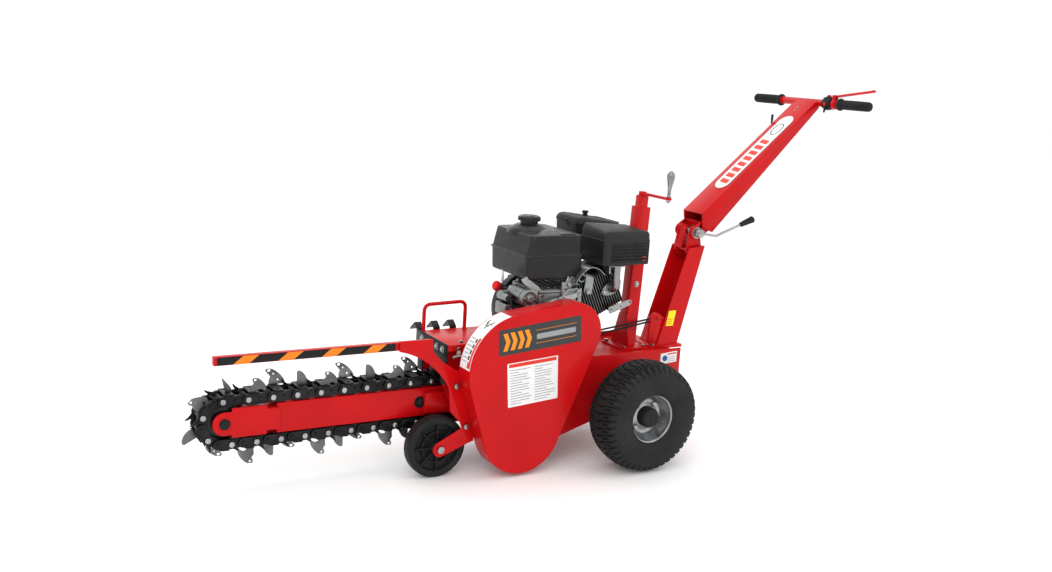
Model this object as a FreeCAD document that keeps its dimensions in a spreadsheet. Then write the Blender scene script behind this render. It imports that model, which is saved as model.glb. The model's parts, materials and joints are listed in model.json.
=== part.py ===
import FreeCAD, Part
import math
import os
import re

import Sketcher

# Walk-behind chain trencher.
# Machine frame: X = 0 at the rear axle and points back to the operator, Y = 0 on the centre line,
# Z = 0 on the ground. Every node is then moved along X by axle_x, so that the row's origin lies on
# the ground under the middle of the whole machine.

DIMENSIONS = {
    "axle_x": 270.6,
    # rear wheels: 15 x 6.00-6 turf tyres on a fixed axle
    "tyre_radius": 190.5, "tyre_half": 74.0, "wheel_y": 298.0, "bead_radius": 80.4,
    "bead_half": 57.5, "rim_flange": 92.0, "rim_wall": 4.0, "hub_radius": 30.0, "hub_half": 50.0,
    "axle_radius": 12.5, "running_gap": 0.06, "cap_radius": 36.0, "cap_depth": 52.0,
    # front wheel on a cantilever bolt
    "front_wheel_x": -693.0, "front_wheel_radius": 102.0, "front_wheel_y": -106.0,
    "front_wheel_half": 24.0, "front_bolt_radius": 8.0,
    # frame
    "side_y": 150.0, "plate": 4.0, "lip_z": 368.0, "deck_z": 350.0, "frame_rear": 262.0,
    "frame_front": -572.0, "deck_front": -372.0,
    # chain housing and its lid
    "housing_half": 75.0, "housing_front": -660.0, "housing_top": 432.0, "lid_half": 105.0,
    "lid_handle_y": 92.0, "lid_handle_rise": 92.0, "lid_handle_run": 155.0,
    # drive line
    "drive_x": -467.65, "drive_z": 233.0, "drive_radius": 15.0, "sleeve_radius": 24.0,
    "crank_x": -250.0, "crank_z": 480.0, "crank_radius": 12.7,
    "clutch_pulley_radius": 52.0, "driven_pulley_radius": 112.0, "pulley_y": -218.0,
    "pulley_width": 36.0, "belt_depth": 9.0,
    # belt cover
    "cover_face": -226.0, "cover_back": -152.1, "cover_sheet": 3.0,
    # boom and chain
    "nose_x": -1363.0, "pitch": 38.1, "chain_radius": 67.62, "roller_radius": 11.0,
    "pin_radius": 6.0, "inner_plate_y": 26.0, "outer_plate_y": 32.6, "link_plate": 6.0,
    "link_half": 15.5, "cutter_height": 66.0, "beam_half": 38.0, "beam_low": 186.0,
    "beam_high": 280.0, "rail_half": 9.0, "nose_roller_radius": 56.3,
    # how far the first pin of the standing chain has run past the nose
    "first_pin": 73.0,
    # safety bar
    "bar_front": -1422.0, "bar_rear": -737.0, "bar_low": 444.0, "bar_high": 470.0,
    # lift post, built upright and then leaned back
    "post_x": 125.0, "post_lean": 2.2, "post_size": 48.0, "post_top": 514.0, "post_wall": 3.0,
    "screw_size": 32.0, "crank_reach": 150.0,
    # handle column and upper arm
    "column_half": 52.0, "pivot_x": 372.0, "pivot_z": 770.0, "pivot_radius": 10.0,
    "lug_x": 218.0, "lug_z": 451.0, "lug_hole": 10.0, "throttle_x": 790.0, "throttle_z": 1140.0,
    "arm_half": 55.0, "bar_x": 916.0, "bar_z": 1262.0, "bar_half": 305.0, "bar_radius": 14.0,
    "grip_length": 150.0,
    # engine
    "engine_rear": -130.0, "engine_front": -350.0, "engine_half": 95.0, "cylinder_tilt": 25.0,
    "tank_front": -372.0, "tank_rear": -140.0, "tank_near": -90.0, "tank_far": 182.0,
    "tank_low": 630.0, "tank_seam": 710.0, "tank_top": 788.0, "filler_x": -285.0, "filler_y": 60.0,
    "muffler_front": -100.0, "muffler_rear": 96.0, "muffler_near": -138.0, "pipe_x": -20.0,
    "muffler_low": 680.0, "muffler_high": 796.0, "fan_radius": 122.0,
    "cleaner_front": -92.0, "cleaner_rear": 92.0, "cleaner_near": 36.0, "cleaner_far": 212.0,
}

document = FreeCAD.newDocument("trencher")
sheet = document.addObject("Spreadsheet::Sheet", "Sheet")
for row, (alias, number) in enumerate(DIMENSIONS.items(), start=1):
    sheet.set(f"A{row}", alias)
    sheet.set(f"B{row}", str(number))
    sheet.setAlias(f"B{row}", alias)
document.recompute()

X_AXIS = FreeCAD.Vector(1, 0, 0)
Y_AXIS = FreeCAD.Vector(0, 1, 0)
Z_AXIS = FreeCAD.Vector(0, 0, 1)
ALONG = {
    "X": FreeCAD.Rotation(Y_AXIS, 90),
    "Y": FreeCAD.Rotation(X_AXIS, -90),
    "Z": FreeCAD.Rotation(),
}
NODES = []


# ---------------------------------------------------------------- helpers

def size(alias):
    """The number in one cell of the sheet."""
    return float(sheet.get(alias))


def formula(text):
    """Turn a formula on the aliases into one that FreeCAD reads from the sheet."""
    def cell(match):
        word = match.group()
        return f"Sheet.{word}" if word in DIMENSIONS else word
    return re.sub(r"[a-z]\w*", cell, str(text))


def bind(thing, field, text):
    thing.setExpression(field, formula(text))


def place(thing, position, rotation=None):
    """Put an object at a position whose coordinates are formulas."""
    if rotation is not None:
        thing.Placement = FreeCAD.Placement(FreeCAD.Vector(), rotation)
    for axis, text in zip("xyz", position):
        bind(thing, f"Placement.Base.{axis}", text)
    return thing


def node(thing, label, position=("0", "0", "0"), rotation=None):
    """Name a finished sub-part and move it from the machine frame to the row's frame."""
    thing.Label = label
    place(thing, (f"axle_x + ({position[0]})", position[1], position[2]), rotation)
    NODES.append(thing)
    return thing


def box(low, high):
    """A block between two corners given as formulas."""
    thing = document.addObject("Part::Box", "Block")
    for field, start, end in zip(("Length", "Width", "Height"), low, high):
        bind(thing, field, f"({end}) - ({start})")
    return place(thing, low)


def rod(start, radius, length, along="Y"):
    """A round bar from a start point along one axis."""
    thing = document.addObject("Part::Cylinder", "Bar")
    bind(thing, "Radius", radius)
    bind(thing, "Height", length)
    return place(thing, start, ALONG[along])


def hexagon(start, across, length, along="Y"):
    """A hexagonal bolt head or nut, across its corners."""
    thing = document.addObject("Part::Prism", "Hexagon")
    thing.Polygon = 6
    bind(thing, "Circumradius", across)
    bind(thing, "Height", length)
    return place(thing, start, ALONG[along])


def fuse(*things):
    thing = document.addObject("Part::MultiFuse", "Union")
    thing.Shapes = list(things)
    thing.Refine = True
    return thing


def cut(base, *tools):
    thing = document.addObject("Part::Cut", "Cut")
    thing.Base = base
    thing.Tool = tools[0] if len(tools) == 1 else fuse(*tools)
    thing.Refine = True
    return thing


def group(*things):
    """Separate solids that share one node."""
    thing = document.addObject("Part::Compound", "Group")
    thing.Links = list(things)
    return thing


def shaped(shape):
    """A feature whose shape comes straight from Part's own functions."""
    thing = document.addObject("Part::Feature", "Shape")
    thing.Shape = shape
    return thing


def origin_plane(body, role):
    return next(plane for plane in body.Origin.OriginFeatures if plane.Role == role)


def outline(body, role, points, offset="0"):
    """A closed polygon sketch whose corners are all bound to the sheet."""
    sketch = body.newObject("Sketcher::SketchObject", "Sketch")
    sketch.AttachmentSupport = [(origin_plane(body, role), "")]
    sketch.MapMode = "FlatFace"
    bind(sketch, "AttachmentOffset.Base.z", offset)
    numbers = [(evaluate(u), evaluate(v)) for u, v in points]
    corners = [FreeCAD.Vector(u, v, 0) for u, v in numbers]
    count = len(corners)
    for index in range(count):
        sketch.addGeometry(Part.LineSegment(corners[index], corners[(index + 1) % count]), False)
    for index in range(count):
        following = (index + 1) % count
        sketch.addConstraint(Sketcher.Constraint("Coincident", index, 2, following, 1))
    for index, (u, v) in enumerate(points):
        for kind, text, number in (("DistanceX", u, numbers[index][0]),
                                   ("DistanceY", v, numbers[index][1])):
            place_in_list = sketch.addConstraint(
                Sketcher.Constraint(kind, -1, 1, index, 1, number))
            if re.search("[a-z]", str(text)):
                sketch.renameConstraint(place_in_list, f"{kind}{index}")
                bind(sketch, f"Constraints.{kind}{index}", text)
    return sketch


def evaluate(text):
    """The value of a formula on the sheet's aliases."""
    return float(sheet.evalExpression(formula(text)))


def pad(role, points, start, length):
    """A plate or block: a polygon on an origin plane, padded from start along the positive axis."""
    body = document.addObject("PartDesign::Body", "Body")
    faces_back = role == "XZ_Plane"
    offset = f"-(({start}) + ({length}))" if faces_back else start
    feature = body.newObject("PartDesign::Pad", "Pad")
    feature.Profile = outline(body, role, points, offset)
    bind(feature, "Length", length)
    return body


def turned(points):
    """A turned piece about the Y axis, from (distance along Y, radius) corners."""
    body = document.addObject("PartDesign::Body", "Body")
    sketch = outline(body, "YZ_Plane", points)
    feature = body.newObject("PartDesign::Revolution", "Revolution")
    feature.Profile = sketch
    feature.ReferenceAxis = (sketch, ["H_Axis"])
    feature.Angle = 360
    return body


def vector(x, z, y=0.0):
    return FreeCAD.Vector(x, y, z)


def wrapped_wire(circles, y):
    """The belt-like outline round circles (x, z, radius) that are listed anticlockwise."""
    edges = []
    contacts = []
    count = len(circles)
    for index in range(count):
        x1, z1, r1 = circles[index]
        x2, z2, r2 = circles[(index + 1) % count]
        heading = math.atan2(z2 - z1, x2 - x1)
        lean = math.asin((r1 - r2) / math.hypot(x2 - x1, z2 - z1))
        normal = heading - math.pi / 2 + lean
        offset = (math.cos(normal), math.sin(normal))
        contacts.append((vector(x1 + r1 * offset[0], z1 + r1 * offset[1], y),
                         vector(x2 + r2 * offset[0], z2 + r2 * offset[1], y), normal))
    for index in range(count):
        leave, arrive, normal = contacts[index]
        edges.append(Part.makeLine(leave, arrive))
        x, z, radius = circles[(index + 1) % count]
        next_leave, _, next_normal = contacts[(index + 1) % count]
        while next_normal < normal:
            next_normal += 2 * math.pi
        middle = (normal + next_normal) / 2
        through = vector(x + radius * math.cos(middle), z + radius * math.sin(middle), y)
        edges.append(Part.Arc(arrive, through, next_leave).toShape())
    return Part.Wire(edges)


def wrapped_plate(circles, y, thickness):
    """A flat plate in the shape of wrapped_wire, from y to y + thickness."""
    return Part.Face(wrapped_wire(circles, y)).extrude(FreeCAD.Vector(0, thickness, 0))


def bored(shape, x, z, radius, y, length):
    """Cut a round hole along Y."""
    return shape.cut(Part.makeCylinder(radius, length, vector(x, z, y), Y_AXIS))


def bent_tube(points, radius, bend):
    """A round bar along straight runs joined by tangent arcs."""
    edges = []
    start = points[0]
    for index in range(1, len(points) - 1):
        corner = points[index]
        back = (points[index - 1] - corner).normalize()
        ahead = (points[index + 1] - corner).normalize()
        half_turn = (math.pi - back.getAngle(ahead)) / 2
        reach = bend * math.tan(half_turn)
        first = corner + back * reach
        last = corner + ahead * reach
        inward = (back + ahead).normalize()
        middle = corner + inward * (bend / math.cos(half_turn) - bend)
        edges.append(Part.makeLine(start, first))
        edges.append(Part.Arc(first, middle, last).toShape())
        start = last
    edges.append(Part.makeLine(start, points[-1]))
    path = Part.Wire(edges)
    ring = Part.makeCircle(radius, points[0], points[1] - points[0])
    return path.makePipeShell([Part.Wire([ring])], True, False)


# ---------------------------------------------------------------- rear wheels

def make_tyre(label, side):
    flank = [("-bead_half + 0.5", "bead_radius"), ("-bead_half", "rim_flange + 1"),
             ("-tyre_half", "120"), ("-tyre_half", "158"), ("-66", "176"),
             ("-46", "tyre_radius - 4"), ("-26", "tyre_radius")]
    mirrored = [(f"-({along})", radius) for along, radius in reversed(flank)]
    node(turned(flank + mirrored), label, ("0", f"{side} * wheel_y", "tyre_radius"))


def make_rim(label, side):
    """A dished disc rim welded to its hub tube; the disc lies a little outboard of the middle."""
    points = [("-bead_half - 4", "rim_flange"), ("-bead_half - 0.3", "rim_flange"),
              ("-bead_half - 0.3", "bead_radius - 0.4"), ("bead_half + 0.3", "bead_radius - 0.4"),
              ("bead_half + 0.3", "rim_flange"), ("bead_half + 4", "rim_flange"),
              ("bead_half + 4", "bead_radius - rim_wall"), ("9", "bead_radius - rim_wall"),
              ("9", "hub_radius"), ("hub_half", "hub_radius"),
              ("hub_half", "axle_radius + running_gap"),
              ("-hub_half", "axle_radius + running_gap"), ("-hub_half", "hub_radius"),
              ("4", "hub_radius"), ("4", "bead_radius - rim_wall"),
              ("-bead_half - 4", "bead_radius - rim_wall")]
    outward = [(f"{side} * ({along})", radius) for along, radius in points]
    node(turned(outward), label, ("0", f"{side} * wheel_y", "tyre_radius"))


def make_hub_cap(label, side):
    points = [("9.1", "cap_radius"), ("cap_depth - 6", "cap_radius"),
              ("cap_depth", "cap_radius - 6"), ("cap_depth", "0"), ("hub_half + 0.3", "0"),
              ("hub_half + 0.3", "hub_radius + 0.3"), ("9.1", "hub_radius + 0.3")]
    outward = [(f"{side} * ({along})", radius) for along, radius in points]
    node(turned(outward), label, ("0", f"{side} * wheel_y", "tyre_radius"))


def make_axle():
    reach = "wheel_y + hub_half - 1"
    bar = rod(("0", f"-({reach})", "tyre_radius"), "axle_radius", f"2 * ({reach})")
    collars = [rod(("0", start, "tyre_radius"), "axle_radius + 8", "12")
               for start in ("-(wheel_y - hub_half) + 1 ", "wheel_y - hub_half - 13")]
    node(fuse(bar, *collars), "wheel_axle")


# ---------------------------------------------------------------- front wheel

def make_front_wheel():
    profile = [("-front_wheel_half", "front_wheel_radius - 6"),
               ("-front_wheel_half + 5", "front_wheel_radius"),
               ("front_wheel_half - 5", "front_wheel_radius"),
               ("front_wheel_half", "front_wheel_radius - 6"), ("front_wheel_half", "80"),
               ("7", "77"), ("7", "22"), ("front_wheel_half", "20"),
               ("front_wheel_half", "front_bolt_radius + running_gap"),
               ("-front_wheel_half", "front_bolt_radius + running_gap"),
               ("-front_wheel_half", "20"), ("-7", "22"), ("-7", "77"),
               ("-front_wheel_half", "80")]
    node(turned(profile), "front_wheel",
         ("front_wheel_x", "front_wheel_y", "front_wheel_radius"))
    near = "front_wheel_y - front_wheel_half"
    far = "front_wheel_y + front_wheel_half"
    at = ("front_wheel_x", "front_wheel_radius")
    shank = rod((at[0], "-side_y - 0.2", at[1]), "front_bolt_radius", f"side_y + 0.2 + {far} + 5.5")
    spacer = rod((at[0], "-side_y + 6.2", at[1]), "12", f"side_y - 6.2 + {near} - 0.4")
    head = hexagon((at[0], "-side_y - 7.2", at[1]), "13", "7")
    nut = hexagon((at[0], f"{far} + 0.4", at[1]), "13", "5")
    return fuse(shank, spacer, head, nut)


# ---------------------------------------------------------------- frame

def side_plate(y_low):
    points = [("frame_rear", "lip_z"), ("frame_front", "lip_z"), ("frame_front", "150"),
              ("-330", "66"), ("frame_rear", "244")]
    return pad("XZ_Plane", points, y_low, "plate")


def make_frame():
    """One weldment: two side plates, the recessed deck with its tongue, front and rear walls."""
    inner = "side_y - plate"
    walls = [side_plate("-side_y"), side_plate(inner)]
    deck = box(("deck_front", f"-({inner})", "deck_z - 5"), ("frame_rear", inner, "deck_z"))
    tongue = box(("frame_rear", "-66", "deck_z - 5"), ("frame_rear + 73", "66", "deck_z"))
    rear = box(("frame_rear - 4", f"-({inner})", "250"), ("frame_rear", inner, "deck_z - 5"))
    cross = box(("-330", f"-({inner})", "150"), ("-326", inner, "deck_z - 5"))
    ties = [box(("frame_front", start, "300"), ("frame_front + 60", end, "304"))
            for start, end in ((f"-({inner})", "-housing_half"), ("housing_half", inner))]
    whole = fuse(*walls, deck, tongue, rear, cross, *ties)
    reach = "2 * side_y + 20"
    axle_hole = rod(("0", "-side_y - 10", "tyre_radius"), "axle_radius + 0.1", reach)
    shaft_hole = rod(("drive_x", "-side_y - 10", "drive_z"), "sleeve_radius + 6", reach)
    crank_gap = box(("-320", "-90", "200"), ("-200", "90", "300"))
    node(cut(whole, axle_hole, shaft_hole, crank_gap), "main_frame")


def make_housing():
    """The open-bottomed box round the drive sprocket."""
    points = [("housing_front", "housing_top"), ("housing_front", "300"), ("-600", "170"),
              ("-331", "150"), ("-331", "deck_z - 5.2"), ("deck_front - 0.2", "deck_z - 5.2"),
              ("deck_front - 0.2", "housing_top")]
    walls = [pad("XZ_Plane", points, start, "5") for start in ("-housing_half", "housing_half - 5")]
    top = box(("housing_front", "-housing_half", "housing_top - 4"),
              ("deck_front - 0.2", "housing_half", "housing_top"))
    back = box(("deck_front - 4.2", "-housing_half", "deck_z"),
               ("deck_front - 0.2", "housing_half", "housing_top"))
    sleeves = rod(("drive_x", "-housing_half - 5", "drive_z"), "sleeve_radius + 0.1",
                  "2 * housing_half + 10")
    node(cut(fuse(*walls, top, back), sleeves), "chain_housing")


def make_lid():
    low = "housing_top + 0.2"
    top = box(("housing_front", "-lid_half", low), ("deck_front - 6", "lid_half", f"{low} + 4"))
    lips = [box(("housing_front", start, "housing_top - 18"), ("deck_front - 6", end, low))
            for start, end in (("-lid_half", "-lid_half + 4"), ("lid_half - 4", "lid_half"))]
    node(fuse(top, *lips), "housing_lid")
    y = size("lid_handle_y")
    foot = size("housing_top") + 4.3
    rise = foot + size("lid_handle_rise")
    front = size("housing_front") + 5
    rear = front + size("lid_handle_run")
    points = [vector(front, foot, y), vector(front, rise, y), vector(rear, rise + 4, y),
              vector(rear, foot, y)]
    node(shaped(bent_tube(points, 6.5, 18)), "lid_handle")


def make_flap():
    """A rubber curtain with a notch for the chain, and the bent strap frame that holds it."""
    back = "housing_front - 0.3"
    points = [("-lid_half", "305"), ("-70", "305"), ("-70", "380"), ("70", "380"),
              ("70", "305"), ("lid_half", "305"), ("lid_half", "436"), ("-lid_half", "436")]
    node(pad("YZ_Plane", points, f"{back} - 6", "6"), "dirt_flap")
    rail = box((f"{back} - 12", "-lid_half - 6", "402"), (f"{back} - 6.3", "lid_half + 6", "442"))
    tabs = [pad("YZ_Plane", [("lid_half + 0.3", "414"), ("lid_half + 5", "414"),
                             ("lid_half + 5", "440"), ("lid_half + 24", "454"),
                             ("lid_half + 58", "428"), ("lid_half + 58", "434"),
                             ("lid_half + 24", "461"), ("lid_half + 0.3", "443")], start, "24")
            for start in (f"{back} - 12", f"{back} + 50", f"{back} + 112")]
    side = box((f"{back} - 12", "lid_half + 0.3", "414"),
               (f"{back} + 136", "lid_half + 5", "430"))
    node(fuse(rail, side, *tabs), "flap_frame")


def make_wheel_bracket():
    """The flat plate that carries the safety bar above and the front wheel below."""
    hub = (size("front_wheel_x"), size("front_wheel_radius"))
    thickness = 6.0
    y = -size("side_y")
    top = size("bar_high") + 4
    curve = Part.Arc(vector(-850, 441, y), vector(-752, 397, y), vector(-672, 306, y)).toShape()
    corners = [(-672, 306), (-663, 226), (-626, 187), (-600, 110), (-573, 118), (-573, 345),
               (-652, 366), (-700, 398), (-734, 434), (-737, top), (-850, top), (-850, 441)]
    points = [vector(x, z, y) for x, z in corners]
    edges = [Part.makeLine(first, second) for first, second in zip(points, points[1:])]
    plate = Part.Face(Part.Wire([curve] + edges)).extrude(FreeCAD.Vector(0, thickness, 0))
    arm = wrapped_plate([(hub[0], hub[1], 25.0), (-604, 140, 30.0)], y, thickness)
    whole = plate.fuse(arm).removeSplitter()
    node(shaped(bored(whole, hub[0], hub[1], size("front_bolt_radius") + 0.1, y - 1, 8)),
         "wheel_bracket")


def make_safety_bar():
    near = "-side_y + 6.1"
    outer = box(("bar_front", near, "bar_low"), ("bar_rear", f"{near} + 20", "bar_high"))
    hollow = box(("bar_front + 3", f"{near} + 2", "bar_low + 2"),
                 ("bar_rear + 1", f"{near} + 18", "bar_high - 2"))
    node(cut(outer, hollow), "safety_bar")


# ---------------------------------------------------------------- belt drive

def cover_circles(inset):
    """Corner circles of the belt cover, anticlockwise, moved inwards by inset."""
    return [(-430, 158, 146 - inset), (size("crank_x"), size("crank_z") - 4, 102 - inset),
            (-453, 366, 187 - inset)]


def make_cover():
    face = size("cover_face")
    depth = size("cover_back") - face
    sheet_metal = size("cover_sheet")
    outer = wrapped_plate(cover_circles(0), face, depth)
    rim = [edge for edge in outer.Edges if abs(edge.BoundBox.YMax - face) < 0.01
           and abs(edge.BoundBox.YMin - face) < 0.01]
    outer = outer.makeFillet(3.0, rim)
    inner = wrapped_plate(cover_circles(sheet_metal), face + sheet_metal, depth)
    node(shaped(outer.cut(inner)), "belt_cover")
    back = wrapped_plate(cover_circles(0), size("cover_back") + 0.1, 1.8)
    back = bored(back, size("crank_x"), size("crank_z"), 34, -200, 100)
    back = bored(back, size("drive_x"), size("drive_z"), size("sleeve_radius") + 6, -200, 100)
    node(shaped(back), "cover_back_plate")


def pulley_profile(radius, bore):
    """A grooved pulley between its two faces, with its groove in the middle of the width."""
    half = "pulley_width / 2"
    return [(f"-{half}", bore), (f"-{half}", radius), ("-10", radius), ("-6", f"{radius} - 15"),
            ("6", f"{radius} - 15"), ("10", radius), (half, radius), (half, bore)]


def make_drive():
    middle = "pulley_y + pulley_width / 2"
    crank = ("crank_x", "crank_z")
    drive = ("drive_x", "drive_z")
    node(turned(pulley_profile("clutch_pulley_radius", "crank_radius + 0.05")), "clutch_pulley",
         (crank[0], middle, crank[1]))
    wide = pulley_profile("driven_pulley_radius", "drive_radius")
    node(turned(wide), "driven_pulley", (drive[0], middle, drive[1]))
    stub = rod((crank[0], "pulley_y - 3", crank[1]), "crank_radius", "-pulley_y + 3 - 100")
    collar = rod((crank[0], "-126", crank[1]), "crank_radius + 8", "20")
    node(fuse(stub, collar), "crankshaft")
    reach = "pulley_y - 3"
    node(rod((drive[0], reach, drive[1]), "drive_radius", f"112 - ({reach})"), "drive_shaft",
         (drive[0], reach, drive[1]), ALONG["Y"])
    make_sprocket()
    flanges = []
    for start, inner in (("-housing_half - 14", "-50"), ("housing_half + 0.1", "50")):
        low = min(evaluate(start), evaluate(inner))
        high = max(evaluate(start) + 13.9, evaluate(inner))
        flanges.append(cut(
            fuse(rod((drive[0], start, drive[1]), "44", "13.9"),
                 rod((drive[0], low, drive[1]), "sleeve_radius", high - low)),
            rod((drive[0], low - 1, drive[1]), "drive_radius + running_gap", high - low + 2)))
    node(group(*flanges), "shaft_bearings")


def make_sprocket():
    """Eleven-tooth sprocket whose tips stay just inside the standing chain's rollers."""
    teeth = 11
    tip = size("chain_radius") - size("roller_radius") - 0.7
    root = tip - 9
    points = []
    for tooth in range(teeth):
        for share, radius in ((-0.30, root), (-0.16, tip), (0.16, tip), (0.30, root)):
            angle = 2 * math.pi * (tooth + share) / teeth
            points.append(vector(radius * math.cos(angle), radius * math.sin(angle), -9))
    blank = Part.Face(Part.makePolygon(points + points[:1])).extrude(FreeCAD.Vector(0, 18, 0))
    hub = Part.makeCylinder(30, 56, FreeCAD.Vector(0, -28, 0), Y_AXIS)
    sprocket = bored(blank.fuse(hub).removeSplitter(), 0, 0, size("drive_radius"), -40, 80)
    node(shaped(sprocket), "drive_sprocket", ("drive_x", "0", "drive_z"))


def make_belt():
    """A V-belt at rest in both grooves, just clear of their walls."""
    middle = size("pulley_y") + size("pulley_width") / 2
    seat = 14.2
    run = [(size("drive_x"), size("drive_z"), size("driven_pulley_radius") - seat),
           (size("crank_x"), size("crank_z"), size("clutch_pulley_radius") - seat)]
    outside = [(x, z, radius + size("belt_depth")) for x, z, radius in run]
    belt = wrapped_plate(outside, middle - 5, 10).cut(wrapped_plate(run, middle - 6, 12))
    node(shaped(belt), "drive_belt")


# ---------------------------------------------------------------- boom and chain

def chain_point(step):
    """Where a pin lies after so many pitches round the loop, and the outward direction there."""
    pitch = size("pitch")
    radius = size("chain_radius")
    nose = size("nose_x")
    middle = size("drive_z")
    straight = (size("drive_x") - nose) / pitch
    half_turn = 5.5
    step = step % (2 * straight + 2 * half_turn)
    if step < straight:
        return (nose + step * pitch, middle + radius, math.pi / 2)
    if step < straight + half_turn:
        angle = math.pi / 2 - math.pi * (step - straight) / half_turn
        return (size("drive_x") + radius * math.cos(angle), middle + radius * math.sin(angle), angle)
    if step < 2 * straight + half_turn:
        along = (step - straight - half_turn) * pitch
        return (size("drive_x") - along, middle - radius, -math.pi / 2)
    angle = -math.pi / 2 - math.pi * (step - 2 * straight - half_turn) / half_turn
    return (nose + radius * math.cos(angle), middle + radius * math.sin(angle), angle)


def link_plates(first, second, inner_y):
    """The two side plates between neighbouring pins."""
    half = size("link_half")
    thick = size("link_plate")
    ends = [(first[0], first[1], half), (second[0], second[1], half)]
    return [wrapped_plate(ends, y, thick) for y in (inner_y, -inner_y - thick)]


def make_chain():
    """Pinned outer links and bushed inner links, closed round the boom."""
    pin = size("pin_radius")
    pins = round(2 * (size("drive_x") - size("nose_x")) / size("pitch") + 11)
    phase = size("first_pin") / size("pitch") % 2
    outer_y = size("outer_plate_y")
    inner_y = size("inner_plate_y")
    spots = [chain_point(index + phase) for index in range(pins)]
    outer_links = []
    inner_links = []
    for index in range(pins):
        here = spots[index]
        there = spots[(index + 1) % pins]
        if index % 2 == 0:
            plates = link_plates(here, there, outer_y)
            ends = [Part.makeCylinder(pin, 88, vector(x, z, -44), Y_AXIS)
                    for x, z, _ in (here, there)]
            outer_links.append(plates[0].fuse([plates[1]] + ends))
        else:
            plates = link_plates(here, there, inner_y)
            ends = [Part.makeCylinder(size("roller_radius"), 2 * inner_y + 2,
                                      vector(x, z, -inner_y - 1), Y_AXIS)
                    for x, z, _ in (here, there)]
            link = plates[0].fuse([plates[1]] + ends)
            for x, z, _ in (here, there):
                link = bored(link, x, z, pin + 0.08, -50, 100)
            inner_links.append(link)
    node(shaped(Part.makeCompound(outer_links)), "chain_outer_links")
    node(shaped(Part.makeCompound(inner_links)), "chain_inner_links")
    make_cutters(spots)


def flat_prism(corners, start, width):
    """An outline of X and Z pairs, extruded across the machine."""
    points = [vector(x, z, start) for x, z in corners]
    return Part.Face(Part.makePolygon(points + points[:1])).extrude(FreeCAD.Vector(0, width, 0))


def cutter_blank(kind):
    """A cutter in its own frame: X along the chain, Z outwards from the pin line."""
    foot = size("link_half")
    tall = size("cutter_height")
    outer = size("outer_plate_y") + size("link_plate")
    base = Part.makeBox(30, 2 * outer, 5, FreeCAD.Vector(-15, -outer, foot + 0.2))
    if kind == "blade":
        fin = [(-10, foot + 5), (22, foot + 5), (23, 32), (15, 48), (2, tall), (-8, tall - 6)]
        return base.fuse(flat_prism(fin, -4, 8))
    side = 1 if kind == "left_cup" else -1
    profile = [(26, foot + 4.5), (34, foot + 4.5), (51, 48), (51, tall), (45, tall), (44, 50)]
    points = [FreeCAD.Vector(-12, side * y, z) for y, z in profile]
    cup = Part.Face(Part.makePolygon(points + points[:1])).extrude(FreeCAD.Vector(48, 0, 0))
    ear = [(-9, foot), (-9, 36), (-4, 44), (-9, tall), (8, tall), (24, 54), (33, 40), (32, foot)]
    return base.fuse(cup.common(flat_prism(ear, -60, 120)))


def make_cutters(spots):
    """One cutter on every outer link, in a repeating order of three shapes."""
    blanks = [cutter_blank(kind) for kind in ("right_cup", "left_cup", "blade")]
    made = [[], [], []]
    for count, index in enumerate(range(0, len(spots), 2)):
        (x1, z1, _), (x2, z2, _) = spots[index], spots[(index + 1) % len(spots)]
        turn = math.degrees(math.atan2(z2 - z1, x2 - x1))
        cutter = blanks[count % 3].copy()
        cutter.Placement = FreeCAD.Placement(
            vector((x1 + x2) / 2, (z1 + z2) / 2), FreeCAD.Rotation(Y_AXIS, -turn))
        made[count % 3].append(cutter)
    node(shaped(Part.makeCompound(made[2])), "cutter_blades")
    node(shaped(Part.makeCompound(made[0] + made[1])), "cutter_cups")


def make_boom():
    """The box beam with its chain rails, and the two ears that turn on the bearing sleeves."""
    middle = "drive_z"
    beam = box(("-1200", "-beam_half", "beam_low"), ("-600", "beam_half", "beam_high"))
    hollow = box(("-1194", "-beam_half + 6", "beam_low + 6"), ("-599", "beam_half - 6", "beam_high - 6"))
    rail_top = f"{middle} + chain_radius - roller_radius - 0.6"
    rail_low = f"{middle} - chain_radius + roller_radius + 0.6"
    rails = [box(("-1286", "-rail_half", low), ("-545", "rail_half", high))
             for low, high in (("beam_high - 6", rail_top), (rail_low, "beam_low + 6"))]
    blocks = [box(("-710", start, "200"), ("-640", end, "266"))
              for start, end in (("-60", "-beam_half + 1"), ("beam_half - 1", "60"))]
    ears = []
    for y in (-60.0, 54.0):
        plate = wrapped_plate([(size("drive_x"), size("drive_z"), 38.0), (-680, 233, 33.0)], y, 6)
        ears.append(shaped(plate))
    bore = rod(("drive_x", "-70", middle), "sleeve_radius + running_gap", "140")
    node(cut(fuse(beam, *rails, *blocks, *ears), bore, hollow), "boom_beam")


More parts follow.
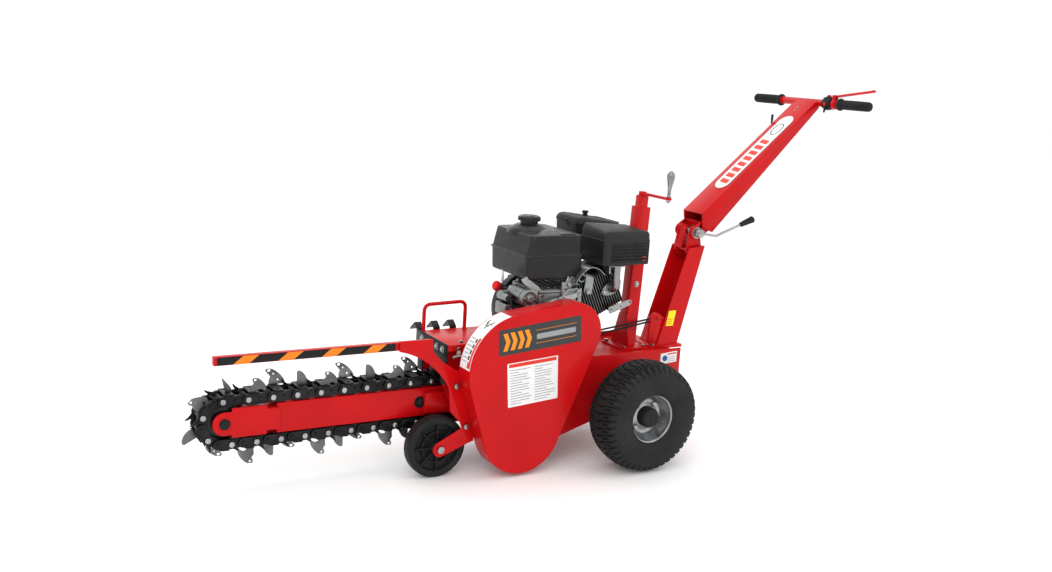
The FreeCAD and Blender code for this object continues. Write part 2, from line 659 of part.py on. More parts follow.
def make_nose():
    """The slide that tensions the chain: a block in the beam's mouth and two outer fork plates."""
    nose = size("nose_x")
    middle = size("drive_z")
    plates = []
    for y in (-46.0, 40.0):
        lobe = wrapped_plate([(nose, middle, 36.0), (nose + 24, middle, 36.0)], y, 6)
        broad = Part.makeBox(107, 6, 92, FreeCAD.Vector(nose + 22, y, middle - 45))
        tail = Part.makeBox(45, 6, 68, FreeCAD.Vector(nose + 124, y, middle - 33))
        plates.append(lobe.fuse([broad, tail]).removeSplitter())
    block = Part.makeBox(96, 80, 72, FreeCAD.Vector(nose + 66, -40, middle - 36))
    fork = plates[0].fuse([plates[1], block]).removeSplitter()
    node(shaped(bored(fork, nose, middle, 10, -60, 120)), "nose_fork")
    at = ("nose_x", "drive_z")
    shank = rod((at[0], "-50", at[1]), "10", "100")
    heads = [hexagon((at[0], "-56", at[1]), "15", "9.9"), hexagon((at[0], "46.1", at[1]), "15", "8")]
    node(fuse(shank, *heads), "nose_bolt")
    roller = [("-24", "nose_roller_radius"), ("24", "nose_roller_radius"),
              ("24", "10 + running_gap"), ("-24", "10 + running_gap")]
    node(turned(roller), "nose_roller", (at[0], "0", at[1]))


# ---------------------------------------------------------------- lift post

POST_LEAN = FreeCAD.Rotation(Y_AXIS, size("post_lean"))
POST_FOOT = ("post_x", "0", "deck_z + 0.1")


def make_lift():
    """Everything on the post is built upright about its own foot and leaned back at the end."""
    half = "post_size / 2"
    bore = f"({half} - post_wall)"
    tube = "screw_size / 2"
    outer = box((f"-{half}", f"-{half}", "5"), (half, half, "post_top"))
    skirt = pad("YZ_Plane", [("-56", "6"), ("56", "6"), ("post_size / 2", "120"),
                             ("-post_size / 2", "120")], f"-{half} - 4", "4.5")
    hollow = box((f"-{bore}", f"-{bore}", "8"), (bore, bore, "post_top - 12"))
    jack = box((f"-{tube}", f"-{tube}", "post_top - 14"), (tube, tube, "post_top + 40"))
    screw_hole = rod(("0", "0", "post_top - 20"), "9", "80", "Z")
    leaned = cut(fuse(cut(fuse(outer, skirt), hollow), jack), screw_hole)
    place(leaned, POST_FOOT, POST_LEAN)
    base = box(("post_x - 60", "-66", "deck_z + 0.1"), ("post_x + 50", "66", "deck_z + 7"))
    node(fuse(leaned, base), "lift_post")
    top = "post_top + 40.4"
    screw = rod(("0", "0", "310"), "8.5", f"{top} - 310 + 2", "Z")
    hub = rod(("0", "0", top), "14", "14", "Z")
    arm = box(("-7", "-crank_reach", f"{top} + 2"), ("7", "0", f"{top} + 11"))
    eye = rod(("0", "-crank_reach", f"{top} + 2"), "11", "9", "Z")
    peg = rod(("0", "-crank_reach", f"{top} + 11"), "5", "92", "Z")
    node(fuse(screw, hub, arm, eye, peg), "lift_crank", POST_FOOT, POST_LEAN)
    grip = [("0", "5.06"), ("0", "9"), ("30", "8"), ("62", "14"), ("82", "14"), ("90", "9"),
            ("90", "5.06")]
    upright = FreeCAD.Rotation(X_AXIS, 90)
    lean = size("post_lean") * math.pi / 180
    height = evaluate(top) + 11.5
    foot = (f"post_x + {height * math.sin(lean)}", "-crank_reach",
            f"deck_z + 0.1 + {height * math.cos(lean)}")
    node(turned(grip), "crank_grip", foot, POST_LEAN.multiply(upright))


# ---------------------------------------------------------------- handle

def make_column():
    """A folded box column on a base plate, its tall front tongue and its tie-down lug."""
    body = [("228", "deck_z + 6"), ("321", "deck_z + 6"), ("413", "720"), ("342", "714")]
    inside = [("233", "deck_z + 20"), ("317", "deck_z + 20"), ("409", "730"), ("345", "730")]
    outer = pad("XZ_Plane", body, "-column_half", "2 * column_half")
    hollow = pad("XZ_Plane", inside, "-column_half + 3", "2 * column_half - 6")
    tube = cut(outer, hollow)
    tongue = pad("XZ_Plane", [("340", "708"), ("345", "712"), ("363", "790"), ("358", "792")],
                 "-4", "45")
    base = box(("188", "-66", "deck_z + 0.1"), ("333", "66", "deck_z + 6.5"))
    ears = []
    for y in (-36.0, 30.0):
        ear = wrapped_plate([(size("pivot_x"), size("pivot_z"), 24.0), (375, 705, 34.0)], y, 6)
        ears.append(shaped(ear))
    web = box(("350", "-32", "700"), ("405", "32", "708"))
    eye = (size("lug_x"), size("lug_z"))
    lug = wrapped_plate([(212, 378, 22), (250, 400, 10), (250, 446, 10), (*eye, 26)], -48, 8)
    lug = shaped(bored(lug, *eye, size("lug_hole"), -60, 40))
    whole = fuse(tube, tongue, base, *ears, web, lug)
    bolt_hole = rod(("pivot_x", "-80", "pivot_z"), "pivot_radius + running_gap", "160")
    node(cut(whole, bolt_hole), "handle_column")


def make_rods():
    """Two clutch control rods from the column's lug to the engine."""
    rods = []
    for rear_z, front_z in ((455, 416), (445, 400)):
        start = vector(-129.5, front_z, -44)
        end = vector(190, rear_z, -44)
        path = Part.Wire([Part.makeLine(start, end)])
        ring = Part.Wire([Part.makeCircle(3.5, start, end - start)])
        rods.append(path.makePipeShell([ring], True, False))
    node(shaped(Part.makeCompound(rods)), "control_rods")


def make_arm():
    """The tapered upper arm, its clevis cheeks round the column's ears, and the pivot bolt."""
    side = [("384", "842"), ("bar_x - 22", "bar_z + 6"), ("bar_x - 4", "bar_z - 18"),
            ("439", "772"), ("392", "790")]
    inside = [("380", "835"), ("bar_x - 60", "bar_z - 26"), ("bar_x - 40", "bar_z - 44"),
              ("446", "783"), ("400", "780")]
    outer = pad("XZ_Plane", side, "-arm_half", "2 * arm_half")
    hollow = pad("XZ_Plane", inside, "-arm_half + 3", "2 * arm_half - 6")
    cheeks = []
    for y in (-49.0, 43.0):
        cheek = wrapped_plate([(size("pivot_x"), size("pivot_z"), 25.0), (425, 806, 24.0)], y, 6)
        cheeks.append(shaped(cheek))
    shell = cut(outer, hollow)
    boss = rod(("throttle_x", "arm_half - 2", "throttle_z"), "16", "10")
    whole = fuse(shell, boss, *cheeks)
    bolt_hole = rod(("pivot_x", "-80", "pivot_z"), "pivot_radius", "160")
    handlebar_seat = rod(("bar_x", "-80", "bar_z"), "bar_radius + 0.1", "160")
    node(cut(whole, bolt_hole, handlebar_seat), "upper_arm")
    at = ("pivot_x", "pivot_z")
    shank = rod((at[0], "-64", at[1]), "pivot_radius", "122")
    nut = hexagon((at[0], "49.2", at[1]), "17", "10")
    node(fuse(shank, nut), "pivot_bolt")


def make_clamp_lever():
    near = -74.0
    boss = Part.makeCylinder(15, 22, vector(size("pivot_x"), size("pivot_z"), near - 2), Y_AXIS)
    boss = bored(boss, size("pivot_x"), size("pivot_z"), size("pivot_radius") + 0.06, -66, 30)
    thick = 4.6
    root = vector(384, 768, near + 3)
    knee = vector(446, 760, near + 3)
    tip = vector(566, 802, near + 3)
    runs = [Part.makeCylinder(thick, (end - start).Length, start, end - start)
            for start, end in ((root, knee), (knee, tip))]
    node(shaped(boss.fuse(runs + [Part.makeSphere(thick, knee)])), "clamp_lever")
    ahead = (tip - knee).normalize()
    start = tip - ahead * 8
    grip = Part.makeCone(9, 13, 62, start, ahead)
    grip = grip.cut(Part.makeCylinder(thick + 0.05, 8.2, start, ahead))
    node(shaped(grip), "clamp_grip")


def make_handlebar():
    at = ("bar_x", "bar_z")
    outer = rod((at[0], "-bar_half + 3", at[1]), "bar_radius", "2 * bar_half - 6")
    inner = rod((at[0], "-bar_half + 2", at[1]), "bar_radius - 2.5", "2 * bar_half - 4")
    tube = cut(outer, inner)
    grips = []
    for start, flange in (("-bar_half", "-bar_half + grip_length - 6"),
                          ("bar_half - grip_length", "bar_half - grip_length")):
        sleeve = fuse(rod((at[0], start, at[1]), "bar_radius + 4", "grip_length"),
                      rod((at[0], flange, at[1]), "bar_radius + 9", "6"))
        near = start.startswith("-")
        bore_start = "-bar_half + 2.9" if near else "bar_half - grip_length - 1"
        grips.append(cut(sleeve, rod((at[0], bore_start, at[1]), "bar_radius + 0.05",
                                     "grip_length - 1.9")))
    node(group(*grips), "handle_grips")
    return tube


def make_controls(tube):
    """Switch block with its stop button, the drive lever over the near grip, the throttle."""
    at = ("bar_x", "bar_z")
    block = fuse(rod((at[0], "-118", at[1]), "bar_radius + 8", "42"),
                 box(("bar_x - 16", "-114", "bar_z"), ("bar_x + 16", "-80", "bar_z + 28")))
    clear = rod((at[0], "-119", at[1]), "bar_radius + 0.1", "44")
    well = rod((at[0], "-97", "bar_z + 20"), "7.4", "9", "Z")
    node(cut(block, clear, well), "switch_block")
    node(rod((at[0], "-97", "bar_z + 24.2"), "7", "9", "Z"), "stop_button",
         (at[0], "-97", "bar_z + 24.2"))
    pivot = FreeCAD.Vector(size("bar_x") - 4, -132, size("bar_z") + 27)
    clip = fuse(rod((at[0], "-140", at[1]), "bar_radius + 5", "16"),
                box(("bar_x - 12", "-140", "bar_z + 15"), ("bar_x - 8", "-124", "bar_z + 34")),
                box(("bar_x", "-140", "bar_z + 15"), ("bar_x + 4", "-124", "bar_z + 34")))
    pin = rod(("bar_x - 12", "-132", "bar_z + 27"), "2.5", "16", "X")
    collar = cut(clip, rod((at[0], "-141", at[1]), "bar_radius - 1", "18"))
    node(fuse(tube, collar, pin), "handlebar")
    tip = FreeCAD.Vector(size("bar_x") + 20, -300, size("bar_z") + 58)
    ahead = (tip - pivot).normalize()
    blade = Part.makeCylinder(5, (tip - pivot).Length - 16, pivot + ahead * 16, ahead)
    eye = Part.makeCylinder(6, 6, FreeCAD.Vector(pivot.x - 3, pivot.y, pivot.z), X_AXIS)
    root = Part.makeCylinder(2.8, 18, pivot, ahead)
    lever = bored_x(eye.fuse([root, blade]), pivot, 2.56)
    node(shaped(lever), "drive_lever")
    face = size("arm_half") + 8.5
    mount = vector(size("throttle_x"), size("throttle_z"), face)
    wire = Part.makeCylinder(2.2, 52, mount + FreeCAD.Vector(0, 2.7, 8), Z_AXIS)
    knob = Part.makeCylinder(4, 22, mount + FreeCAD.Vector(0, 2.7, 44), Z_AXIS)
    hub = Part.makeCylinder(9, 5, mount, Y_AXIS)
    node(shaped(hub.fuse([wire, knob])), "throttle_lever")


def bored_x(shape, centre, radius):
    start = FreeCAD.Vector(centre.x - 20, centre.y, centre.z)
    return shape.cut(Part.makeCylinder(radius, 40, start, X_AXIS))


# ---------------------------------------------------------------- engine

def make_engine():
    """A single-cylinder horizontal-shaft engine, its crank end towards the belt cover."""
    deck = "deck_z + 0.2"
    case = box(("engine_front + 22", "-engine_half", f"{deck} + 14"),
               ("engine_rear - 22", "engine_half", "600"))
    feet = box(("engine_front", "-engine_half + 8", deck),
               ("engine_rear", "engine_half - 8", f"{deck} + 14"))
    cheek = rod(("crank_x", "-engine_half - 22", "crank_z"), "92", "24")
    nose = rod(("crank_x", "-engine_half - 30", "crank_z"), "30", "10")
    well = rod(("crank_x", "-engine_half - 40", "crank_z"), "crank_radius + 9", "52")
    node(cut(fuse(case, feet, cheek, nose), well), "crankcase")
    tilt = FreeCAD.Rotation(Y_AXIS, 90 - size("cylinder_tilt"))
    seat = ("crank_x", "0", "crank_z")
    fins = [turned_block(("-78", "-78"), ("72", "78"), str(130 + 12 * count), "4")
            for count in range(14)]
    barrel = turned_block(("-62", "-66"), ("60", "66"), "112", "180")
    node(cylinder_part(fuse(barrel, *fins), seat, tilt), "engine_cylinder", seat, tilt)
    cover = turned_block(("-46", "-54"), ("26", "54"), "292.3", "30")
    flange = turned_block(("-54", "-62"), ("34", "62"), "292.3", "8")
    node(cylinder_part(fuse(cover, flange), seat, tilt), "rocker_cover", seat, tilt)
    make_fan_housing()
    make_tank()
    make_exhaust()
    make_intake()


def turned_block(low, high, start, length):
    """A block whose Z runs along the cylinder."""
    return box((low[0], low[1], start), (high[0], high[1], f"{start} + {length}"))


def cylinder_part(thing, seat, tilt):
    """Trim what would reach into the crankcase, in the cylinder's own frame."""
    reach = 150.0
    trim = document.addObject("Part::Box", "Trim")
    trim.Length, trim.Width, trim.Height = 300, 300, 400
    inverse = tilt.inverted()
    corner = FreeCAD.Vector(size("engine_rear") - size("crank_x") - 21.8 - 300, -reach,
                            -400 + 620 - size("crank_z"))
    trim.Placement = FreeCAD.Placement(inverse.multVec(corner), inverse)
    return cut(thing, trim)


def make_fan_housing():
    """The round cooling fan and recoil starter cover on the far side."""
    start = size("engine_half")
    profile = [("0.2", "0"), ("0.2", "fan_radius"), ("42", "fan_radius"), ("58", "fan_radius - 16"),
               ("92", "86"), ("100", "60"), ("100", "0")]
    shell = turned(profile)
    node(shell, "fan_housing", ("crank_x - 4", start, "crank_z + 16"))
    motor = rod(("0", "-98", "0"), "33", "108")
    nose = rod(("0", "-104", "0"), "14", "8")
    node(fuse(motor, nose), "starter_motor", ("engine_front - 11.5", "-8", "572"))


def make_tank():
    low = "tank_low"
    profile = [("tank_front + 8", "tank_seam + 3"), ("tank_rear - 8", "tank_seam + 3"),
               ("tank_rear - 8", "tank_top - 22"), ("tank_rear - 56", "tank_top"),
               ("tank_front + 48", "tank_top"), ("tank_front + 8", "tank_top - 22")]
    upper = pad("XZ_Plane", profile, "tank_near + 8", "tank_far - tank_near - 16")
    slopes = [pad("YZ_Plane", [(f"{side} + {step} * 7", "tank_top - 22"),
                               (f"{side} + {step} * 70", "tank_top + 2"),
                               (f"{side} + {step} * 7", "tank_top + 2")],
                  "tank_front", "tank_rear - tank_front")
              for side, step in (("tank_near", 1), ("tank_far", -1))]
    lower = box(("tank_front + 10", "tank_near + 10", low),
                ("tank_rear - 10", "tank_far - 10", "tank_seam - 3"))
    seam = box(("tank_front", "tank_near", "tank_seam - 3"),
               ("tank_rear", "tank_far", "tank_seam + 3"))
    neck = rod(("filler_x", "filler_y", "tank_top - 1"), "26", "16", "Z")
    node(fuse(cut(upper, *slopes), lower, seam, neck), "fuel_tank")
    cap = [("0", "0"), ("0", "31"), ("8", "31"), ("9", "39.5"), ("22", "39.5"), ("27", "33"), ("27", "0")]
    node(turned(cap), "fuel_cap", ("filler_x", "filler_y", "tank_top + 15.4"),
         FreeCAD.Rotation(X_AXIS, 90))


def make_exhaust():
    shell = box(("muffler_front", "muffler_near", "muffler_low"),
                ("muffler_rear", "muffler_near + 152", "muffler_high"))
    crown = box(("muffler_front + 10", "muffler_near + 12", "muffler_high - 1"),
                ("muffler_rear - 10", "muffler_near + 140", "muffler_high + 5"))
    hollow = box(("muffler_front + 2", "muffler_near + 2", "muffler_low - 1"),
                 ("muffler_rear - 2", "muffler_near + 150", "muffler_high - 2"))
    floor = box(("muffler_front + 1", "muffler_near + 1", "muffler_low"),
                ("muffler_rear - 1", "muffler_near + 151", "muffler_low + 2"))
    inlet = rod(("pipe_x", "muffler_near + 30", "muffler_low - 1"), "11", "4", "Z")
    node(cut(fuse(cut(shell, hollow), floor, crown), inlet), "muffler")
    low = size("muffler_low") - 0.2
    across = size("pipe_x")
    points = [vector(across, low, -108), vector(across, 588, -108), vector(across, 588, -78.3)]
    node(shaped(bent_tube(points, 14, 26)), "exhaust_pipe")


def make_intake():
    body = box(("cleaner_front", "cleaner_near", "690"), ("cleaner_rear", "cleaner_far", "782"))
    slope = [("cleaner_front + 6", "781"), ("cleaner_rear - 6", "781"), ("cleaner_rear - 6", "798"),
             ("cleaner_rear - 24", "806"), ("cleaner_front + 24", "822"), ("cleaner_front + 6", "812")]
    lid = pad("XZ_Plane", slope, "cleaner_near + 6", "cleaner_far - cleaner_near - 12")
    knob = rod(("-12", "124", "812"), "12", "26", "Z")
    node(fuse(body, lid, knob), "air_cleaner")
    throat = rod(("-110", "95.4", "640"), "22", "80")
    bowl = rod(("-110", "140", "592"), "26", "40", "Z")
    elbow = box(("-132", "112", "630"), ("-80", "168", "689.8"))
    node(fuse(throat, bowl, elbow), "carburettor")


# ---------------------------------------------------------------- fasteners

def make_bolts(front_bolt):
    """The front wheel's bolt, and the hexagon heads on the plates, post, column and engine."""
    heads = [front_bolt]
    for x, z in ((-647, 313), (-605, 172)):
        heads.append(hexagon((str(x), "-side_y - 8.2", str(z)), "10", "8"))
    for x in (-48, 38):
        for y in (-56, 56):
            heads.append(hexagon((f"post_x + {x}", str(y), "deck_z + 7.2"), "8", "8", "Z"))
    for y in (-57, 57):
        heads.append(hexagon(("203", str(y), "deck_z + 6.7"), "8", "8", "Z"))
    for x in ("engine_front + 11", "engine_rear - 11"):
        for y in (-62, 62):
            heads.append(hexagon((x, str(y), "deck_z + 14.4"), "8", "8", "Z"))
    node(group(*heads), "frame_bolts")


def write_nodes():
    """Check every object and every sub-part, then write one file for each."""
    document.recompute()
    for thing in document.Objects:
        if {"Invalid", "Error"} & set(thing.State):
            raise RuntimeError(f"{thing.Label} failed: {thing.State}")
    os.makedirs("parts", exist_ok=True)
    for thing in NODES:
        shape = thing.Shape
        if shape.isNull() or not shape.isValid() or not shape.Solids:
            raise RuntimeError(f"{thing.Label} has no valid solid")
        shape.exportStep(os.path.join("parts", f"{thing.Label}.step"))
        span = shape.BoundBox
        print(f"{thing.Label:20s} solids {len(shape.Solids):3d}  X {span.XMin:9.1f} {span.XMax:9.1f}"
              f"  Y {span.YMin:8.1f} {span.YMax:8.1f}  Z {span.ZMin:8.1f} {span.ZMax:8.1f}")
    print(len(NODES), "nodes")


for prefix, side in (("left", -1), ("right", 1)):
    make_tyre(f"{prefix}_tyre", side)
    make_rim(f"{prefix}_rim", side)
    make_hub_cap(f"{prefix}_hub_cap", side)
make_axle()
front_bolt = make_front_wheel()
make_frame()
make_housing()
make_lid()
make_flap()
make_wheel_bracket()
make_safety_bar()
make_cover()
make_drive()
make_belt()
make_chain()
make_boom()
make_nose()
make_lift()
make_column()
make_rods()
make_arm()
make_clamp_lever()
make_controls(make_handlebar())
make_engine()
make_bolts(front_bolt)
write_nodes()
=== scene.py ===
import json
import math
import random

import bmesh
import bpy
from mathutils import Matrix, Vector


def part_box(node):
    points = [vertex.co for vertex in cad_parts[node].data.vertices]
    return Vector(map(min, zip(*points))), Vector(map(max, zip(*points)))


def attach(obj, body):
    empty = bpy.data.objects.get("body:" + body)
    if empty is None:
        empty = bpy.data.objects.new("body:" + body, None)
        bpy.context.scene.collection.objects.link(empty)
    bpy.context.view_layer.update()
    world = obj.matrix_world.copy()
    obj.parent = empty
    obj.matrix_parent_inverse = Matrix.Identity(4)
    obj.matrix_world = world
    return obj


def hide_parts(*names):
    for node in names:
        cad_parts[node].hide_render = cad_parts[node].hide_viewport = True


# The looks of a walk-behind chain trencher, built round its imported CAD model.
# Lengths are in millimetres from the rear axle, as on a drawing of the machine: X back to the
# operator, Y across with 0 on the centre line, Z up from the ground. at() turns them into the
# frame's metres.

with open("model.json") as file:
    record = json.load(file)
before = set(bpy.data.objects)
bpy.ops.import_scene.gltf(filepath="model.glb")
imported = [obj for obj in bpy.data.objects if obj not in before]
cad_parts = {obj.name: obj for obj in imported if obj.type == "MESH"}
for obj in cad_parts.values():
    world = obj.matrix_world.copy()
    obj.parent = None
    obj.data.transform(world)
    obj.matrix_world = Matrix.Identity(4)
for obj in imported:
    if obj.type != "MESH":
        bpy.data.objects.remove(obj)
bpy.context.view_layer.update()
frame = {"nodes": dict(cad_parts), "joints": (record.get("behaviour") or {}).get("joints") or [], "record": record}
NODES = frame["nodes"]
RECORD = frame["record"]
BODY_OF = {node: body for body, nodes in RECORD["behaviour"]["bodies"].items() for node in nodes}
SLOT_OF = {part["node"]: part["material_slot"] for part in RECORD["subparts"]}
JOINTS = {joint["name"]: joint for joint in frame["joints"]}
MM = 0.001
COLLECTION = bpy.context.scene.collection


def middle(node):
    """The centre of a node's box, in the frame."""
    low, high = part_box(node)
    return (low + high) / 2


AXLE_X = middle("wheel_axle").x
NOSE = middle("nose_roller")
DRIVE = middle("drive_sprocket")
CRANK = middle("clutch_pulley")


def at(x, y, z):
    """A point of the frame from millimetres off the rear axle."""
    return Vector((AXLE_X + x * MM, y * MM, z * MM))


def off_axle(point):
    """A point of the frame as X, Y and Z in millimetres off the rear axle."""
    return (point[0] - AXLE_X) / MM, point[1] / MM, point[2] / MM


def extent(node):
    """A node's box in millimetres off the rear axle: its X, Y and Z limits."""
    low, high = (off_axle(corner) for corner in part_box(node))
    return low[0], high[0], low[1], high[1], low[2], high[2]


def footprint(node):
    """The middle and the half sizes of a node's box, seen from above."""
    x_low, x_high, y_low, y_high, *_ = extent(node)
    return ((x_low + x_high) / 2, (y_low + y_high) / 2), ((x_high - x_low) / 2, (y_high - y_low) / 2)


def turns(count, start=0.0):
    """Equal angles round a circle."""
    return [start + 2 * math.pi * index / count for index in range(count)]


def about_z(radius, angle, height):
    """A point on a circle round Z."""
    return Vector((radius * math.cos(angle), radius * math.sin(angle), height))


def about_y(radius, angle, across=0.0):
    """A point on a circle round Y."""
    return Vector((radius * math.cos(angle), across, radius * math.sin(angle)))


# ---------------------------------------------------------------- materials

def new_material(name, color, metallic, roughness, coat=0.0, coat_roughness=0.1, specular=0.5):
    """A Principled material, with the values that are the same all over it on its own sockets."""
    material = bpy.data.materials.new(name)
    material.use_nodes = True
    shader = material.node_tree.nodes["Principled BSDF"]
    shader.inputs["Base Color"].default_value = (*color, 1)
    shader.inputs["Metallic"].default_value = metallic
    shader.inputs["Roughness"].default_value = roughness
    shader.inputs["Coat Weight"].default_value = coat
    shader.inputs["Coat Roughness"].default_value = coat_roughness
    shader.inputs["Specular IOR Level"].default_value = specular
    return material


def noise(tree, scale, detail=4.0):
    """A noise over the object's own coordinates; scale is in features per metre."""
    place = tree.nodes.new("ShaderNodeTexCoord")
    texture = tree.nodes.new("ShaderNodeTexNoise")
    texture.inputs["Scale"].default_value = scale
    texture.inputs["Detail"].default_value = detail
    tree.links.new(place.outputs["Object"], texture.inputs["Vector"])
    return texture.outputs["Fac"]


def ranged(tree, value, low, high, start=0.3, end=0.7):
    """A value between start and end, carried over to low and high."""
    node = tree.nodes.new("ShaderNodeMapRange")
    node.inputs["From Min"].default_value = start
    node.inputs["From Max"].default_value = end
    node.inputs["To Min"].default_value = low
    node.inputs["To Max"].default_value = high
    tree.links.new(value, node.inputs["Value"])
    return node.outputs["Result"]


def mixed(tree, factor, first, second):
    """A colour between two colours, each a tuple or another node's output."""
    node = tree.nodes.new("ShaderNodeMix")
    node.data_type = "RGBA"
    tree.links.new(factor, node.inputs["Factor"])
    for socket, color in ((node.inputs[6], first), (node.inputs[7], second)):
        if isinstance(color, tuple):
            socket.default_value = (*color, 1)
        else:
            tree.links.new(color, socket)
    return node.outputs[2]


def add_bump(tree, shader, heights, strength, distance):
    """Bump from one or more heights, laid on each other."""
    normal = None
    for height in heights:
        bump = tree.nodes.new("ShaderNodeBump")
        bump.inputs["Strength"].default_value = strength
        bump.inputs["Distance"].default_value = distance
        tree.links.new(height, bump.inputs["Height"])
        if normal is not None:
            tree.links.new(normal, bump.inputs["Normal"])
        normal = bump.outputs["Normal"]
    tree.links.new(normal, shader.inputs["Normal"])


def edge_mask(tree, width):
    """1 along convex or concave edges, from how far a rounded normal leaves the true one."""
    bevel = tree.nodes.new("ShaderNodeBevel")
    bevel.inputs["Radius"].default_value = width
    geometry = tree.nodes.new("ShaderNodeNewGeometry")
    dot = tree.nodes.new("ShaderNodeVectorMath")
    dot.operation = "DOT_PRODUCT"
    tree.links.new(bevel.outputs["Normal"], dot.inputs[0])
    tree.links.new(geometry.outputs["Normal"], dot.inputs[1])
    return ranged(tree, dot.outputs["Value"], 1.0, 0.0, 0.80, 0.985)


def paint(name, color, edge_wear_and_highlight, roughness, coat, specular=0.12):
    """Powder coat: a fine orange peel, a little unevenness and a paler colour in specks along its edges: worn
    paint, and where that colour is far paler than the coat, a painted highlight.
    """
    material = new_material(name, color, 0.0, roughness, coat, 0.12, specular)
    tree = material.node_tree
    shader = tree.nodes["Principled BSDF"]
    broad = ranged(tree, noise(tree, 7.0), 0.0, 1.0)
    body = mixed(tree, broad, color, tuple(0.86 * part for part in color))
    speck = ranged(tree, noise(tree, 210.0, 6.0), 0.0, 0.5, 0.52, 0.72)
    # Edge specks: worn paint, and on the muffler enamel a painted highlight along its edges.
    edges = tree.nodes.new("ShaderNodeMath")
    edges.operation = "MULTIPLY"
    tree.links.new(edge_mask(tree, 0.0012), edges.inputs[0])
    tree.links.new(speck, edges.inputs[1])
    tree.links.new(mixed(tree, edges.outputs["Value"], body, edge_wear_and_highlight), shader.inputs["Base Color"])
    tree.links.new(ranged(tree, noise(tree, 90.0), roughness - 0.05, roughness + 0.09),
                   shader.inputs["Roughness"])
    add_bump(tree, shader, [noise(tree, 420.0, 2.0), noise(tree, 60.0, 1.0)], 0.10, 0.0004)
    return material


def moulded(name, color, roughness, grain, bump, specular=0.2, edge=None):
    """Plastic or rubber: a fine grain, dusty unevenness, a matte to satin skin and, if an edge colour is given, a
    painted highlight along its edges.
    """
    material = new_material(name, color, 0.0, roughness, specular=specular)
    tree = material.node_tree
    shader = tree.nodes["Principled BSDF"]
    dusty = tuple(min(1.0, part * 1.5 + 0.004) for part in color)
    broad = ranged(tree, noise(tree, 11.0, 5.0), 0.0, 1.0, 0.35, 0.75)
    shade = mixed(tree, broad, color, dusty)
    # Painted highlight: the edge colour lightens the plastic along its edges.
    if edge:
        shade = mixed(tree, edge_mask(tree, 0.0016), shade, edge)
    tree.links.new(shade, shader.inputs["Base Color"])
    tree.links.new(ranged(tree, noise(tree, 55.0), roughness - 0.07, roughness + 0.10),
                   shader.inputs["Roughness"])
    add_bump(tree, shader, [noise(tree, grain, 3.0)], bump, 0.0005)
    return material


def metal(name, color, dark, roughness, grain, bump, occlusion_shade=0.0):
    """Bare or plated metal: a fine or a cast grain, and painted shade that darkens its corners and crevices."""
    material = new_material(name, color, 1.0, roughness)
    tree = material.node_tree
    shader = tree.nodes["Principled BSDF"]
    broad = ranged(tree, noise(tree, 16.0, 5.0), 0.0, 1.0, 0.3, 0.75)
    shade = mixed(tree, broad, color, dark)
    if occlusion_shade:
        # Painted shade: an occlusion mask darkens the colour towards near black in corners, crevices and between
        # parts.
        occlusion = tree.nodes.new("ShaderNodeAmbientOcclusion")
        occlusion.samples = 4
        occlusion.inputs["Distance"].default_value = 0.014
        occlusion_darkening = ranged(tree, occlusion.outputs["AO"], occlusion_shade, 0.0, 0.35, 0.95)
        shade = mixed(tree, occlusion_darkening, shade, (0.012, 0.012, 0.013))
    tree.links.new(shade, shader.inputs["Base Color"])
    tree.links.new(ranged(tree, noise(tree, grain * 0.4), roughness - 0.07, roughness + 0.12),
                   shader.inputs["Roughness"])
    add_bump(tree, shader, [noise(tree, grain, 5.0)], bump, 0.0006)
    return material


